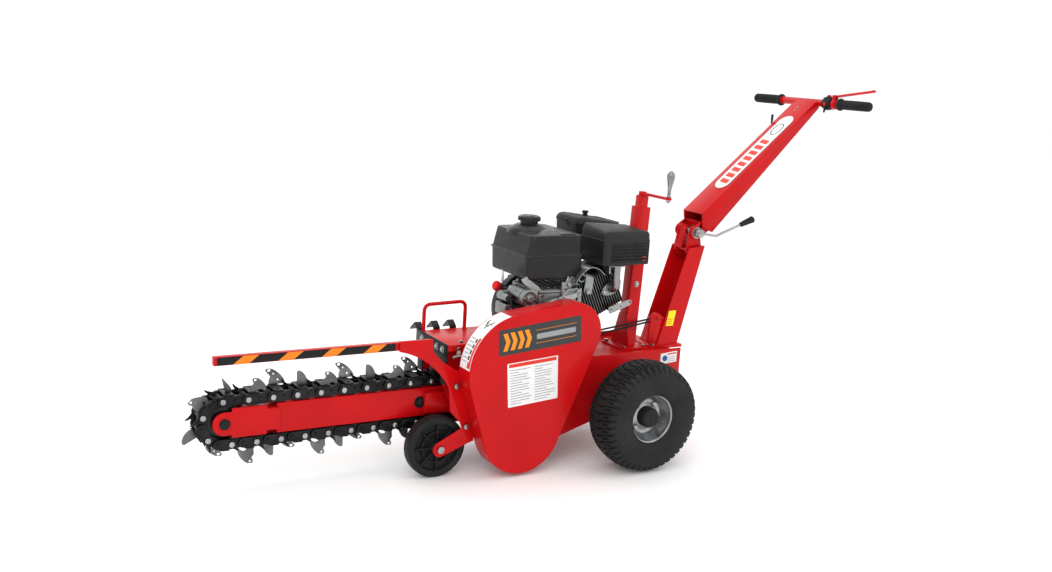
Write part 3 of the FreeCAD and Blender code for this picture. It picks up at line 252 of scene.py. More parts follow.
RED = (0.545, 0.0025, 0.0045)
MATERIALS = {
    "red_paint": paint("red_powder_coat", RED, (0.80, 0.12, 0.11), 0.34, 0.12),
    "black_paint": paint("black_powder_coat", (0.012, 0.012, 0.013), (0.07, 0.07, 0.07), 0.38, 0.1),
    # The muffler's pale grey edge colour is a painted highlight along the shield's edges.
    "muffler_black": paint("muffler_enamel", (0.010, 0.010, 0.0105), (0.24, 0.24, 0.24), 0.42, 0.0, 0.3),
    "engine_black": paint("engine_enamel", (0.011, 0.011, 0.012), (0.05, 0.05, 0.05), 0.40, 0.05),
    "tyre_rubber": moulded("tyre_rubber", (0.010, 0.0105, 0.011), 0.62, 700.0, 0.30),
    "solid_rubber": moulded("solid_rubber", (0.0085, 0.009, 0.0095), 0.55, 620.0, 0.22),
    "belt_rubber": moulded("belt_rubber", (0.012, 0.012, 0.013), 0.75, 900.0, 0.4),
    "curtain_rubber": moulded("curtain_rubber", (0.012, 0.013, 0.014), 0.58, 380.0, 0.35),
    "grip_rubber": moulded("grip_rubber", (0.009, 0.009, 0.0095), 0.58, 800.0, 0.35),
    "black_plastic": moulded("black_plastic", (0.008, 0.008, 0.0085), 0.46, 1100.0, 0.25),
    # The tank's pale edge colour is a painted highlight along its edges.
    "tank_plastic": moulded("tank_plastic", (0.0085, 0.0085, 0.009), 0.34, 1000.0, 0.12, 0.26,
                            (0.13, 0.13, 0.13)),
    "red_plastic": moulded("red_plastic", (0.50, 0.006, 0.010), 0.32, 500.0, 0.08),
    # The occlusion values below set how far painted shade darkens each metal's corners and crevices.
    "galvanised_rim": metal("galvanised_rim", (0.44, 0.45, 0.46), (0.28, 0.29, 0.30), 0.34, 130.0,
                            0.10, occlusion_shade=0.4),
    "bright_steel": metal("bright_steel", (0.46, 0.46, 0.45), (0.27, 0.27, 0.265), 0.26, 300.0, 0.10,
                          occlusion_shade=0.3),
    "chromed": metal("chromed", (0.33, 0.33, 0.34), (0.19, 0.19, 0.20), 0.18, 240.0, 0.03),
    "link_steel": metal("link_steel", (0.034, 0.035, 0.037), (0.016, 0.017, 0.018), 0.42, 260.0,
                        0.28, occlusion_shade=0.3),
    "cutter_steel": metal("cutter_steel", (0.20, 0.205, 0.21), (0.105, 0.108, 0.112), 0.50, 190.0,
                          0.40, occlusion_shade=0.3),
    "engine_cast": metal("engine_cast", (0.36, 0.375, 0.37), (0.20, 0.215, 0.21), 0.38, 520.0, 0.30,
                         occlusion_shade=0.85),
    # A darker copy of the cast finish: painted shade for the cylinder's cooling fins.
    "engine_cast_fin_shade": metal("engine_cast_fin_shade", (0.30, 0.325, 0.315), (0.15, 0.165, 0.16), 0.42, 420.0,
                              0.30, occlusion_shade=0.7),
    "sprocket_steel": metal("sprocket_steel", (0.050, 0.050, 0.050), (0.028, 0.028, 0.028), 0.36, 240.0,
                            0.15, occlusion_shade=0.5),
    "pulley_iron": metal("pulley_iron", (0.22, 0.22, 0.23), (0.12, 0.12, 0.13), 0.42, 200.0, 0.2,
                         occlusion_shade=0.5),
}


def printed(name, color):
    """Printed vinyl film: nearly even, with a faint texture under a clear skin."""
    roughness = 0.38
    material = new_material(name, color, 0.0, roughness, 0.1, 0.2, 0.2)
    tree = material.node_tree
    shader = tree.nodes["Principled BSDF"]
    factor = ranged(tree, noise(tree, 30.0, 5.0), 0.0, 1.0)
    tree.links.new(mixed(tree, factor, color, tuple(0.93 * part for part in color)),
                   shader.inputs["Base Color"])
    tree.links.new(ranged(tree, noise(tree, 150.0), roughness - 0.05, roughness + 0.08),
                   shader.inputs["Roughness"])
    add_bump(tree, shader, [noise(tree, 260.0, 2.0)], 0.05, 0.0003)
    return material


FILM = {
    "white": printed("white_film", (0.80, 0.80, 0.79)),
    "grey": printed("grey_film", (0.040, 0.041, 0.042)),
    "orange": printed("orange_film", (0.80, 0.21, 0.010)),
    "amber": printed("amber_film", (0.86, 0.27, 0.008)),
    "black": printed("black_film", (0.004, 0.004, 0.0045)),
    "red": printed("red_film", (0.70, 0.035, 0.015)),
    "yellow": printed("yellow_film", (0.93, 0.80, 0.012)),
    "pale_grey": printed("pale_grey_film", (0.30, 0.31, 0.32)),
    "blue": printed("blue_film", (0.015, 0.085, 0.32)),
}


# ---------------------------------------------------------------- making pieces

def piece_from(name, bm, body, slot, material=None, replaces=(), smooth=32.0):
    """A bmesh as a closed piece that moves with a body and takes its finish from a slot."""
    bmesh.ops.remove_doubles(bm, verts=bm.verts, dist=1e-6)
    bmesh.ops.recalc_face_normals(bm, faces=bm.faces)
    mesh = bpy.data.meshes.new(name)
    bm.to_mesh(mesh)
    bm.free()
    mesh.shade_smooth()
    mesh.set_sharp_from_angle(angle=math.radians(smooth))
    mesh.materials.append(material or MATERIALS[slot])
    piece = bpy.data.objects.new(name, mesh)
    COLLECTION.objects.link(piece)
    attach(piece, body)
    if replaces:
        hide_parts(*replaces)


def bevel_sharp(bm, width):
    """Round every edge that turns by more than the least angle."""
    least_angle, segments = 28.0, 2
    bmesh.ops.remove_doubles(bm, verts=bm.verts, dist=1e-6)
    bmesh.ops.dissolve_limit(bm, angle_limit=math.radians(1.0), verts=bm.verts, edges=bm.edges)
    sharp = [edge for edge in bm.edges if len(edge.link_faces) == 2
             and edge.calc_face_angle(0.0) > math.radians(least_angle)]
    bmesh.ops.bevel(bm, geom=sharp, offset=width * MM, offset_type="OFFSET", segments=segments,
                    profile=0.5, affect="EDGES", clamp_overlap=True)


def rounded(node, width):
    """The CAD node again, as a piece with its edges rounded."""
    bm = bmesh.new()
    bm.from_mesh(NODES[node].data)
    bevel_sharp(bm, width)
    piece_from(f"{node}_body", bm, BODY_OF[node], SLOT_OF[node], replaces=[node])


def add_grid(bm, rows, close_columns=False, caps=False):
    """Faces over closed rows of points; the stack of rows may close on itself too."""
    rings = [[bm.verts.new(point) for point in row] for row in rows]
    count = len(rings[0])
    last = len(rings) if close_columns else len(rings) - 1
    for index in range(last):
        here = rings[index]
        above = rings[(index + 1) % len(rings)]
        for column in range(count):
            ahead = (column + 1) % count
            bm.faces.new((here[column], here[ahead], above[ahead], above[column]))
    if caps:
        bm.faces.new(rings[0][::-1])
        bm.faces.new(rings[-1])


def axis_frame(origin, along):
    """A matrix whose Z runs along a direction, placed at a point."""
    turn = Vector(along).normalized().to_track_quat("Z", "Y").to_matrix().to_4x4()
    return Matrix.Translation(origin) @ turn


def lathe(bm, profile, origin, along, segments=64, closed=False):
    """Turn (along, radius) corners, in millimetres, about an axis."""
    matrix = axis_frame(origin, along)
    rows = [[matrix @ (about_z(radius, angle, height) * MM) for angle in turns(segments)]
            for height, radius in profile]
    add_grid(bm, rows, close_columns=closed, caps=not closed)


def fluted(bm, profile, matrix, segments=72):
    """Turn (along, radius, flute depth) corners about a matrix's Z, cutting in two steps of six."""
    rows = []
    for along, radius, flute in profile:
        rows.append([matrix @ (about_z(radius - (flute if index % 6 < 2 else 0), angle, along) * MM)
                     for index, angle in enumerate(turns(segments))])
    add_grid(bm, rows, caps=True)


def rounded_rectangle(half_x, half_y, radius, steps):
    """Corner points of a rectangle with round corners, anticlockwise."""
    points = []
    for quarter, (sx, sy) in enumerate(((1, 1), (-1, 1), (-1, -1), (1, -1))):
        for step in range(steps + 1):
            angle = math.pi / 2 * (quarter + step / steps)
            points.append((sx * (half_x - radius) + radius * math.cos(angle),
                           sy * (half_y - radius) + radius * math.sin(angle)))
    return points


def loft(bm, levels, matrix, steps):
    """A solid through rounded rectangles (height, x, y, half_x, half_y, radius) in millimetres."""
    rows = []
    for height, x, y, half_x, half_y, radius in levels:
        rows.append([matrix @ (Vector((x + u, y + v, height)) * MM)
                     for u, v in rounded_rectangle(half_x, half_y, radius, steps)])
    add_grid(bm, rows, caps=True)


def inset_levels(centre, half, steps):
    """Levels for a loft from (height, inset, corner radius) and the widest half sizes."""
    return [(height, *centre, half[0] - inset, half[1] - inset, radius)
            for height, inset, radius in steps]


def soft_levels(low, high, x, y, half_x, half_y, radius, edge):
    """Levels of an upright block whose top and bottom edges are rounded off."""
    levels = []
    for share in (0.0, 0.35, 0.7, 1.0):
        angle = share * math.pi / 2
        inset = edge * (1 - math.sin(angle))
        levels.append((edge * (1 - math.cos(angle)), x, y, half_x - inset, half_y - inset,
                       max(radius - inset, 0.5)))
    return ([(low + rise, *rest) for rise, *rest in levels]
            + [(high - rise, *rest) for rise, *rest in reversed(levels)])


MACHINE = Matrix.Translation((AXLE_X, 0, 0))


def block(bm, low, high, edge, matrix=MACHINE):
    """A block between two corners in millimetres, with all its edges rounded."""
    x, y = (low[0] + high[0]) / 2, (low[1] + high[1]) / 2
    half_x, half_y = (high[0] - low[0]) / 2, (high[1] - low[1]) / 2
    loft(bm, soft_levels(low[2], high[2], x, y, half_x, half_y, max(edge, 0.6), edge), matrix, 3)


def hex_head(bm, origin, along, across, height, washer=True):
    """A hexagonal head with a chamfered top and a washer, its foot at the origin."""
    matrix = axis_frame(origin, along)
    base = 1.6 if washer else 0.0
    top = base + height
    rows = [[matrix @ (about_z(radius, angle, level) * MM) for angle in turns(6)]
            for level, radius in ((base, across), (top - 1.2, across), (top, across * 0.84))]
    add_grid(bm, rows, caps=True)
    if washer:
        lathe(bm, [(0, across * 1.35), (base, across * 1.35)], origin, along, 28)


def corner_curve(before, corner, after, bend, most, steps):
    """Points that round off one corner, reaching at most a share of each of its sides."""
    back = before - corner
    ahead = after - corner
    reach = min(bend, back.length * most, ahead.length * most)
    first = corner + back.normalized() * reach
    last = corner + ahead.normalized() * reach
    shares = [step / steps for step in range(steps + 1)]
    return [first.lerp(corner, share).lerp(corner.lerp(last, share), share) for share in shares]


def smooth_path(points, bend, steps=6):
    """Round the corners of a run of points, in millimetres."""
    points = [Vector(point) for point in points]
    path = [points[0]]
    for before, corner, after in zip(points, points[1:], points[2:]):
        path += corner_curve(before, corner, after, bend, 0.49, steps)
    return path + [points[-1]]


def tube(bm, points, radius, bend=0.0, segments=16):
    """A round bar along rounded runs; radius may be a list, one for each point."""
    path = smooth_path(points, bend) if bend else [Vector(point) for point in points]
    radii = radius if isinstance(radius, list) else [radius] * len(path)
    rows = []
    side = None
    for index, point in enumerate(path):
        before = path[max(index - 1, 0)]
        after = path[min(index + 1, len(path) - 1)]
        heading = (after - before).normalized()
        if side is None:
            helper = Vector((0, 0, 1)) if abs(heading.z) < 0.8 else Vector((0, 1, 0))
            side = heading.cross(helper).normalized()
        side = (side - heading * side.dot(heading)).normalized()
        up = heading.cross(side)
        rows.append([at(*(point + (side * math.cos(angle) + up * math.sin(angle)) * radii[index]))
                     for angle in turns(segments)])
    add_grid(bm, rows, caps=True)


def cut_sheet(outline, thickness, holes=(), edge=0.35):
    """A flat plate in X and Y from an outline and holes in millimetres, its front face at Z = 0."""
    edge = min(edge, thickness * 0.45)
    curve = bpy.data.curves.new("outline", "CURVE")
    curve.dimensions = "2D"
    curve.fill_mode = "BOTH"
    curve.extrude = (thickness / 2 - edge) * MM
    curve.bevel_depth = edge * MM
    curve.bevel_resolution = 1
    curve.offset = -edge * MM
    for ring in [outline, *holes]:
        spline = curve.splines.new("POLY")
        spline.points.add(len(ring) - 1)
        for point, (x, y) in zip(spline.points, ring):
            point.co = (x * MM, y * MM, 0, 1)
        spline.use_cyclic_u = True
    holder = bpy.data.objects.new("outline", curve)
    mesh = bpy.data.meshes.new_from_object(holder)
    bpy.data.objects.remove(holder)
    bpy.data.curves.remove(curve)
    mesh.transform(Matrix.Translation((0, 0, -thickness / 2 * MM)))
    return mesh


def ring_points(x, y, radius, count=24):
    """A round hole's outline for cut_sheet."""
    return [(x + radius * math.cos(angle), y + radius * math.sin(angle)) for angle in turns(count)]


def soft_outline(corners, radius):
    """A polygon with its corners rounded off."""
    steps = 4
    corners = [Vector(corner) for corner in corners]
    path = []
    for index, corner in enumerate(corners):
        after = corners[(index + 1) % len(corners)]
        path += corner_curve(corners[index - 1], corner, after, radius, 0.45, steps)
    return [(point.x, point.y) for point in path]


def add_mesh(bm, mesh, matrix):
    """Put a copy of a template mesh into a bmesh."""
    copy = mesh.copy()
    copy.transform(matrix)
    bm.from_mesh(copy)
    bpy.data.meshes.remove(copy)


def plane_frame(origin, right, up):
    """A matrix whose X and Y lie in a face and whose Z leaves it."""
    right = Vector(right).normalized()
    out = right.cross(Vector(up)).normalized()
    up = out.cross(right)
    matrix = Matrix((right, up, out)).transposed().to_4x4()
    matrix.translation = origin
    return matrix


def film(name, outline, place, color, body="frame", lift=0.0):
    """A thin printed shape on a face, standing a little proud of it."""
    thickness = 0.4
    bm = bmesh.new()
    add_mesh(bm, cut_sheet(outline, thickness, edge=0.1),
             place @ Matrix.Translation((0, 0, (thickness + lift) * MM)))
    piece_from(name, bm, body, "black_paint", FILM[color])


# ---------------------------------------------------------------- steel parts

EDGE_RADII = {
    "main_frame": 1.6, "chain_housing": 1.4, "housing_lid": 1.4, "dirt_flap": 0.8,
    "flap_frame": 1.0, "wheel_bracket": 1.6, "safety_bar": 1.6, "belt_cover": 1.6,
    "cover_back_plate": 0.6, "lift_post": 2.6, "handle_column": 2.4, "upper_arm": 3.0,
    "boom_beam": 4.0, "nose_fork": 2.0, "nose_bolt": 1.2, "nose_roller": 1.5, "lift_crank": 1.4,
    "pivot_bolt": 0.9, "clamp_lever": 1.0, "handlebar": 0.8, "wheel_axle": 0.8,
    "shaft_bearings": 0.8, "drive_sprocket": 0.8, "driven_pulley": 1.0, "clutch_pulley": 0.8,
    "crankshaft": 0.6, "drive_shaft": 0.6, "control_rods": 0.0, "chain_inner_links": 0.8,
    "chain_outer_links": 0.9, "throttle_lever": 0.4, "drive_belt": 0.6, "frame_bolts": 0.7,
}


def make_steel():
    """The CAD parts that keep their own shape, each with its edges rounded."""
    for node, width in EDGE_RADII.items():
        if width:
            rounded(node, width)


def smooth_copy(node):
    """The CAD node again with its round faces shaded smoothly."""
    bm = bmesh.new()
    bm.from_mesh(NODES[node].data)
    piece_from(f"{node}_body", bm, BODY_OF[node], SLOT_OF[node], replaces=[node])


def make_welds():
    """Weld beads where plates and tubes of the frame meet."""
    bead_step, bead_radius = 3.2, 2.3
    bm = bmesh.new()
    random.seed(4)
    seams = [((228, -52, 357), (321, -52, 357)), ((228, 52, 357), (321, 52, 357)),
             ((226, -50, 358), (226, 50, 358)), ((99, -24, 358), (99, 24, 358)),
             ((-571, -76, 301), (-513, -76, 301)), ((-571, 76, 301), (-513, 76, 301)),
             ((262, -64, 344), (262, 64, 344)), ((-572, -150.5, 346), (-572, -150.5, 160))]
    for start, end in seams:
        start, end = Vector(start), Vector(end)
        steps = max(4, int((end - start).length / bead_step))
        path = [start.lerp(end, index / steps) for index in range(steps + 1)]
        radii = [bead_radius + 0.5 * (index % 2) + random.uniform(-0.15, 0.15)
                 for index in range(steps + 1)]
        tube(bm, path, radii, segments=8)
    piece_from("weld_beads", bm, "frame", "red_paint", smooth=60)


def make_lid_handle():
    """The bent bar on the lid, with a weld collar at each foot."""
    x_low, x_high, y_low, y_high, foot, z_high = extent("lid_handle")
    radius = (y_high - y_low) / 2
    y = (y_high + y_low) / 2
    front, rear, top = x_low + radius, x_high - radius, z_high - radius
    bm = bmesh.new()
    tube(bm, [(front, y, foot), (front, y, top - 4), (rear, y, top), (rear, y, foot)],
         radius, bend=24, segments=20)
    for x in (front, rear):
        lathe(bm, [(0, radius + 2.2), (1.4, radius + 1.9), (3.4, radius + 0.2)],
              at(x, y, foot), (0, 0, 1), 24)
    piece_from("lid_handle_bar", bm, "frame", "red_paint", replaces=["lid_handle"], smooth=50)


def make_small_bolts():
    """Loose fasteners on the lid, flap frame, housing, post and cover."""
    lid_top = extent("housing_lid")[5]
    rail_x = extent("flap_frame")[0]
    post_foot, post_top = 352, extent("lift_post")[5]
    near, far, ahead, up = (0, -1, 0), (0, 1, 0), (-1, 0, 0), (0, 0, 1)
    spots = [((rail_x, y, 422), ahead, 8, 5) for y in (-92, -50, 60)]
    spots += [((x, -80, lid_top), up, 7, 5) for x in (-600, -440)]
    spots += [((x, -105, 423), near, 6, 4) for x in (-622, -520)]
    spots += [((x, 75, 400), far, 7, 5) for x in (-560, -500, -440)]
    spots += [((133, -24, post_foot + (post_top - post_foot) * 0.42), near, 8, 6)]
    spots += [((x, -150, 330), near, 7, 5) for x in (-560, -330)]
    spots += [((-640, -144, 420), near, 6, 3)]
    bm = bmesh.new()
    for place, along, across, height in spots:
        hex_head(bm, at(*place), along, across, height)
    piece_from("small_bolts", bm, "frame", "bright_steel")
    bm = bmesh.new()
    tube(bm, [(-652, -128, 402), (-610, -128, 402)], 5.0)
    lathe(bm, [(0, 9), (4, 9), (6, 7)], at(-606, -128, 402), (1, 0, 0), 20)
    piece_from("flap_stud", bm, "frame", "bright_steel")


# ---------------------------------------------------------------- rear wheels

def wheel_size(node):
    """A wheel part's centre, and its outer radius and half width in millimetres."""
    low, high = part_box(node)
    return (low + high) / 2, (high.z - low.z) / 2 / MM, (high.y - low.y) / 2 / MM


def tyre_profile(half, radius, bead):
    """(along, radius) corners round the outside of the tyre, bead to bead."""
    wall = [(0.77, bead), (0.83, bead + 6), (0.90, bead + 13), (0.97, bead + 26), (1, bead + 44),
            (1, bead + 62), (0.975, bead + 76), (0.925, bead + 88), (0.85, bead + 96),
            (0.72, radius - 8.5), (0.5, radius - 4), (0.25, radius - 1.2)]
    corners = [(-half * share, reach, 0) for share, reach in wall] + [(0, radius, 0)]
    corners += [(half * share, reach, 0) for share, reach in reversed(wall)]
    path = smooth_path(corners, 6, 2)
    dense = []
    for first, second in zip(path, path[1:]):
        steps = max(1, int((second - first).length / 2.6))
        dense += [first.lerp(second, index / steps) for index in range(steps)]
    return dense + [path[-1]]


def tread_depth(across, turn):
    """How deep the tread is cut at a place: across from -1 to 1, turn in tread pitches."""
    side = abs(across)
    skew = turn + 0.34 * side * side + (0.5 if across > 0 else 0.0)
    if side > 0.66:
        groove = skew % 1.0 < 0.30
        ring = side < 0.70
        fade = min(1.0, max(0.0, (1.10 - side) / 0.16))
        return (1.0 if groove or ring else 0.0) * fade
    if side > 0.30:
        phase = (skew + 0.4) % 1.0
        groove = phase < 0.22 or 0.60 < phase < 0.70
        ring = side < 0.345
        return 1.0 if groove or ring else 0.0
    return 1.0 if (turn + 0.9 * side) % 1.0 < 0.20 else 0.0


def make_tyre(side_name, body, out):
    """A turf tyre: shoulder blocks and a zigzag centre, with two raised rings on its walls."""
    node = f"{side_name}_tyre"
    centre, radius, half = wheel_size(node)
    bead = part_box(f"{side_name}_rim")[1].z / MM - centre.z / MM - 9.5
    pitches, depth, tread_band, ring_height = 46, 6.5, 27, 0.9
    rings = ((radius - 62, radius - 56), (bead + 10, bead + 13))
    steps = 12
    angles = turns(pitches * steps)
    bm = bmesh.new()
    rows = []
    for point in tyre_profile(half, radius, bead):
        across = point.x / half
        on_tread = point.y > radius - tread_band
        raised = any(low < point.y < high for low, high in rings)
        row = []
        for index, angle in enumerate(angles):
            cut = depth * tread_depth(across, index / steps) if on_tread else 0.0
            if raised:
                cut -= ring_height
            reach = point.y - cut * (1.0 if abs(across) < 0.85 else 0.45)
            along = point.x * (1.0 - (cut * 0.006 if abs(across) > 0.8 else 0.0))
            along = max(-half, min(half, along))
            row.append(centre + about_y(reach, angle, out * -along) * MM)
        rows.append(row)
    rows.append([centre + about_y(bead - 3, angle) * MM for angle in angles])
    add_grid(bm, rows, close_columns=True)
    piece_from(f"{node}_body", bm, body, "tyre_rubber", replaces=[node], smooth=38)


def make_rim(side_name, body, out):
    """A dished rim with its hub, four lug bolts and a valve stem."""
    node = f"{side_name}_rim"
    centre, flange, half = wheel_size(node)
    seat = flange - 11.6
    wall = [(half - 0.5, flange), (half, flange - 2), (half - 1, flange - 4.5),
            (half - 5, flange - 6), (half - 10, seat - 1.5), (half - 26, seat - 5),
            (half - 36, seat - 13), (13, seat - 17), (9, seat - 22), (8, seat - 32),
            (11, 42), (14, 38), (15, 31), (15, 13.5), (-half + 9, 13.5), (-half + 9, 28),
            (2, 28), (4, 42), (0, seat - 16), (-6, seat - 12), (-half + 8, seat - 4),
            (-half + 1, flange - 6), (-half, flange - 2), (-half + 0.5, flange),
            (-half + 3.4, flange - 0.6), (-half + 4, seat + 4), (-half + 7.6, seat), (-10, seat - 2),
            (10, seat - 2), (half - 7.6, seat), (half - 4, seat + 4), (half - 3.4, flange - 0.6)]
    bm = bmesh.new()
    lathe(bm, [(out * along, reach) for along, reach in wall], centre, (0, -1, 0), 96, closed=True)
    piece_from(f"{node}_body", bm, body, "galvanised_rim", replaces=[node], smooth=40)
    bolt_circle, bolt_seat = 52, 8.4
    bm = bmesh.new()
    for angle in turns(4, math.pi / 4):
        hex_head(bm, centre + about_y(bolt_circle, angle, -out * bolt_seat) * MM, (0, -out, 0), 8.5, 7)
    x, y, z = off_axle(centre)
    tube(bm, [(x + 60, y - out * 8, z - 22), (x + 62, y - out * 34, z - 23)], 3.0)
    piece_from(f"{side_name}_lug_bolts", bm, body, "bright_steel")


def make_hub_cap(side_name, body, out):
    """A moulded cap with a shallow ring round its middle."""
    node = f"{side_name}_hub_cap"
    centre, radius, half = wheel_size(node)
    shell = [(-half, radius), (half - 12, radius - 1.6), (half - 6, radius - 3),
             (half - 2.5, radius - 6), (half - 0.8, radius - 10), (half, radius - 15),
             (half - 1.6, radius - 17), (half - 1.6, 9), (half - 0.4, 7), (half, 0.5)]
    bm = bmesh.new()
    lathe(bm, [(out * along, reach) for along, reach in shell], centre, (0, -1, 0), 72)
    piece_from(f"{node}_shell", bm, body, "black_plastic", replaces=[node], smooth=40)


def make_rear_wheels():
    """Both driven wheels; out points to the outer face of each."""
    for side_name, out in (("left", 1), ("right", -1)):
        body = f"{side_name}_wheel"
        make_tyre(side_name, body, out)
        make_rim(side_name, body, out)
        make_hub_cap(side_name, body, out)


def make_front_wheel():
    """A solid tyre on a moulded hub with eight ribs on each face."""
    centre, radius, half = wheel_size("front_wheel")
    hub, web, bore = 22, 0.74, 8.1
    side = [(half - 9, radius), (half - 4.5, radius - 1.4), (half - 1.4, radius - 5),
            (half, radius - 9), (half, radius * 0.82), (half - 2, radius * 0.80),
            (half - 3, radius * 0.78), (half - 8, radius * 0.76), (8, radius * web), (6, 27), (9, 24),
            (half - 1, hub), (half, hub - 2), (half, bore)]
    profile = side + [(-along, reach) for along, reach in reversed(side)]
    bm = bmesh.new()
    lathe(bm, profile, centre, (0, 1, 0), 96, closed=True)
    piece_from("front_wheel_body", bm, "front_wheel", "solid_rubber", replaces=["front_wheel"],
               smooth=30)
    bm = bmesh.new()
    for face in (-1, 1):
        for angle in turns(8):
            turn = Matrix.Translation(centre) @ Matrix.Rotation(angle, 4, "Y")
            low_y, high_y = sorted((face * 6.5, face * (half - 5)))
            block(bm, (hub + 1, low_y, -2.2), (radius * 0.76, high_y, 2.2), 0.9, turn)
        lathe(bm, [(face * (half - 7), 50), (face * (half - 7), 54), (face * 6, 55), (face * 6, 49)],
              centre, (0, 1, 0), 64, closed=True)
    piece_from("front_wheel_ribs", bm, "front_wheel", "solid_rubber")


# ---------------------------------------------------------------- chain

PITCH = 38.1
CHAIN_RADIUS = 67.62
HALF_TURN = 5.5
NOSE_X = off_axle(NOSE)[0]
DRIVE_X, _, CHAIN_Z = off_axle(DRIVE)
STRAIGHT = (DRIVE_X - NOSE_X) / PITCH


def chain_point(step):
    """A pin's place in millimetres off the axle after so many pitches round the loop."""
    step = step % (2 * STRAIGHT + 2 * HALF_TURN)
    if step < STRAIGHT:
        return Vector((NOSE_X + step * PITCH, 0, CHAIN_Z + CHAIN_RADIUS))
    if step < STRAIGHT + HALF_TURN:
        angle = math.pi / 2 - math.pi * (step - STRAIGHT) / HALF_TURN
        return Vector((DRIVE_X, 0, CHAIN_Z)) + about_y(CHAIN_RADIUS, angle)
    if step < 2 * STRAIGHT + HALF_TURN:
        return Vector((DRIVE_X - (step - STRAIGHT - HALF_TURN) * PITCH, 0, CHAIN_Z - CHAIN_RADIUS))
    angle = -math.pi / 2 - math.pi * (step - 2 * STRAIGHT - HALF_TURN) / HALF_TURN
    return Vector((NOSE_X, 0, CHAIN_Z)) + about_y(CHAIN_RADIUS, angle)


def chain_spots():
    """Every pin's place, starting from the first outer link past the nose."""
    phase = 73 / PITCH % 2
    return [chain_point(index + phase) for index in range(round(2 * STRAIGHT + 2 * HALF_TURN))]


def link_matrix(first, second):
    """A frame in the middle of a link: X along the chain, Z outwards."""
    forward = (second - first).normalized()
    side = Vector((0, 1, 0))
    out = forward.cross(side).normalized()
    matrix = Matrix((forward, side, out)).transposed().to_4x4()
    matrix.translation = at(*((first + second) / 2))
    return matrix


FOOT_TOP = 20.6
WIDE_FIN = [(-8, 18), (24, 18), (25, 30), (22, 42), (16, 53), (7, 62), (-3, 66), (-8, 62)]
NARROW_FIN = [(-1, 18), (17, 18), (17, 27), (12, 37), (3, 47), (-12, 65.6), (-9, 46), (-5, 32)]


def foot_template():
    """The plate a cutter stands on, across both sides of its link."""
    bm = bmesh.new()
    foot = soft_outline([(-15, -37), (15, -37), (15, 37), (-15, 37)], 5)
    add_mesh(bm, cut_sheet(foot, 4.8, [ring_points(0, 22, 4.5), ring_points(0, -22, 4.5)], 0.8),
             Matrix.Translation((0, 0, FOOT_TOP * MM)))
    return bm


def blade_template(outline):
    """An upright fin-shaped blade in a link's own frame."""
    bm = bmesh.new()
    upright = plane_frame(Vector((0, -3 * MM, 0)), (1, 0, 0), (0, 0, 1))
    add_mesh(bm, cut_sheet(soft_outline(outline, 3), 6.0, edge=1.7), upright)
    return bm


def bent(mesh, shape, cuts):
    """A flat mesh cut across at some heights and then carried onto a curved surface."""
    bm = bmesh.new()
    bm.from_mesh(mesh)
    bpy.data.meshes.remove(mesh)
    for height in cuts:
        bmesh.ops.bisect_plane(bm, geom=[*bm.verts, *bm.edges, *bm.faces],
                               plane_co=(0, height * MM, 0), plane_no=(0, 1, 0))
    for vert in bm.verts:
        vert.co = shape(vert.co)
    return as_mesh(bm, "bent")


NEAR_EAR = [(-13, -1), (6, -1), (11, 7), (20, 9), (28, 4), (33, -1), (37, 6), (35, 20), (28, 33),
            (19, 44), (10, 52), (-7, 53), (-8, 42), (-3, 33), (-12, 22)]
FAR_EAR = [(-12, -1), (39, -1), (39, 12), (31, 27), (21, 38), (10, 47), (0, 52), (-13, 52.5),
           (-18, 46), (-10, 34), (-3, 24), (-11, 12)]


def cup_template(side, outline, holes, lean):
    """An ear that curves out from the link's edge and stands up again, with holes through it."""
    reach, turn = 28, 38

    def flared(point):
        share = min(max(point.y / (turn * MM), 0.0), 1.0)
        out = (reach + lean * share * share * (3 - 2 * share)) * MM - point.z
        return Vector((point.x, side * out, FOOT_TOP * MM + point.y * 0.86))
    bm = bmesh.new()
    sheet = cut_sheet(soft_outline(outline, 3.5), 5.0, holes, 1.4)
    add_mesh(bm, bent(sheet, flared, range(3, 52, 4)), Matrix.Identity(4))
    return bm


def horn_template():
    """The two short horns that stand on an inner link just ahead of the next pin."""
    bm = bmesh.new()
    for side in (-1, 1):
        place = plane_frame(Vector((0, (side * 30.5 - 2.2) * MM, 0)), (1, 0, 0), (0, 0, 1))
        horn = soft_outline([(2, 9), (17, 9), (17, 15), (8, 19), (0, 25), (-9, 35), (-9, 27), (-4, 17)], 2)
        add_mesh(bm, cut_sheet(horn, 4.4, edge=1.0), place)
    return bm


def as_mesh(bm, name):
    """A mesh from a bmesh, its doubled corners merged."""
    bmesh.ops.remove_doubles(bm, verts=bm.verts, dist=1e-6)
    mesh = bpy.data.meshes.new(name)
    bm.to_mesh(mesh)
    bm.free()
    return mesh


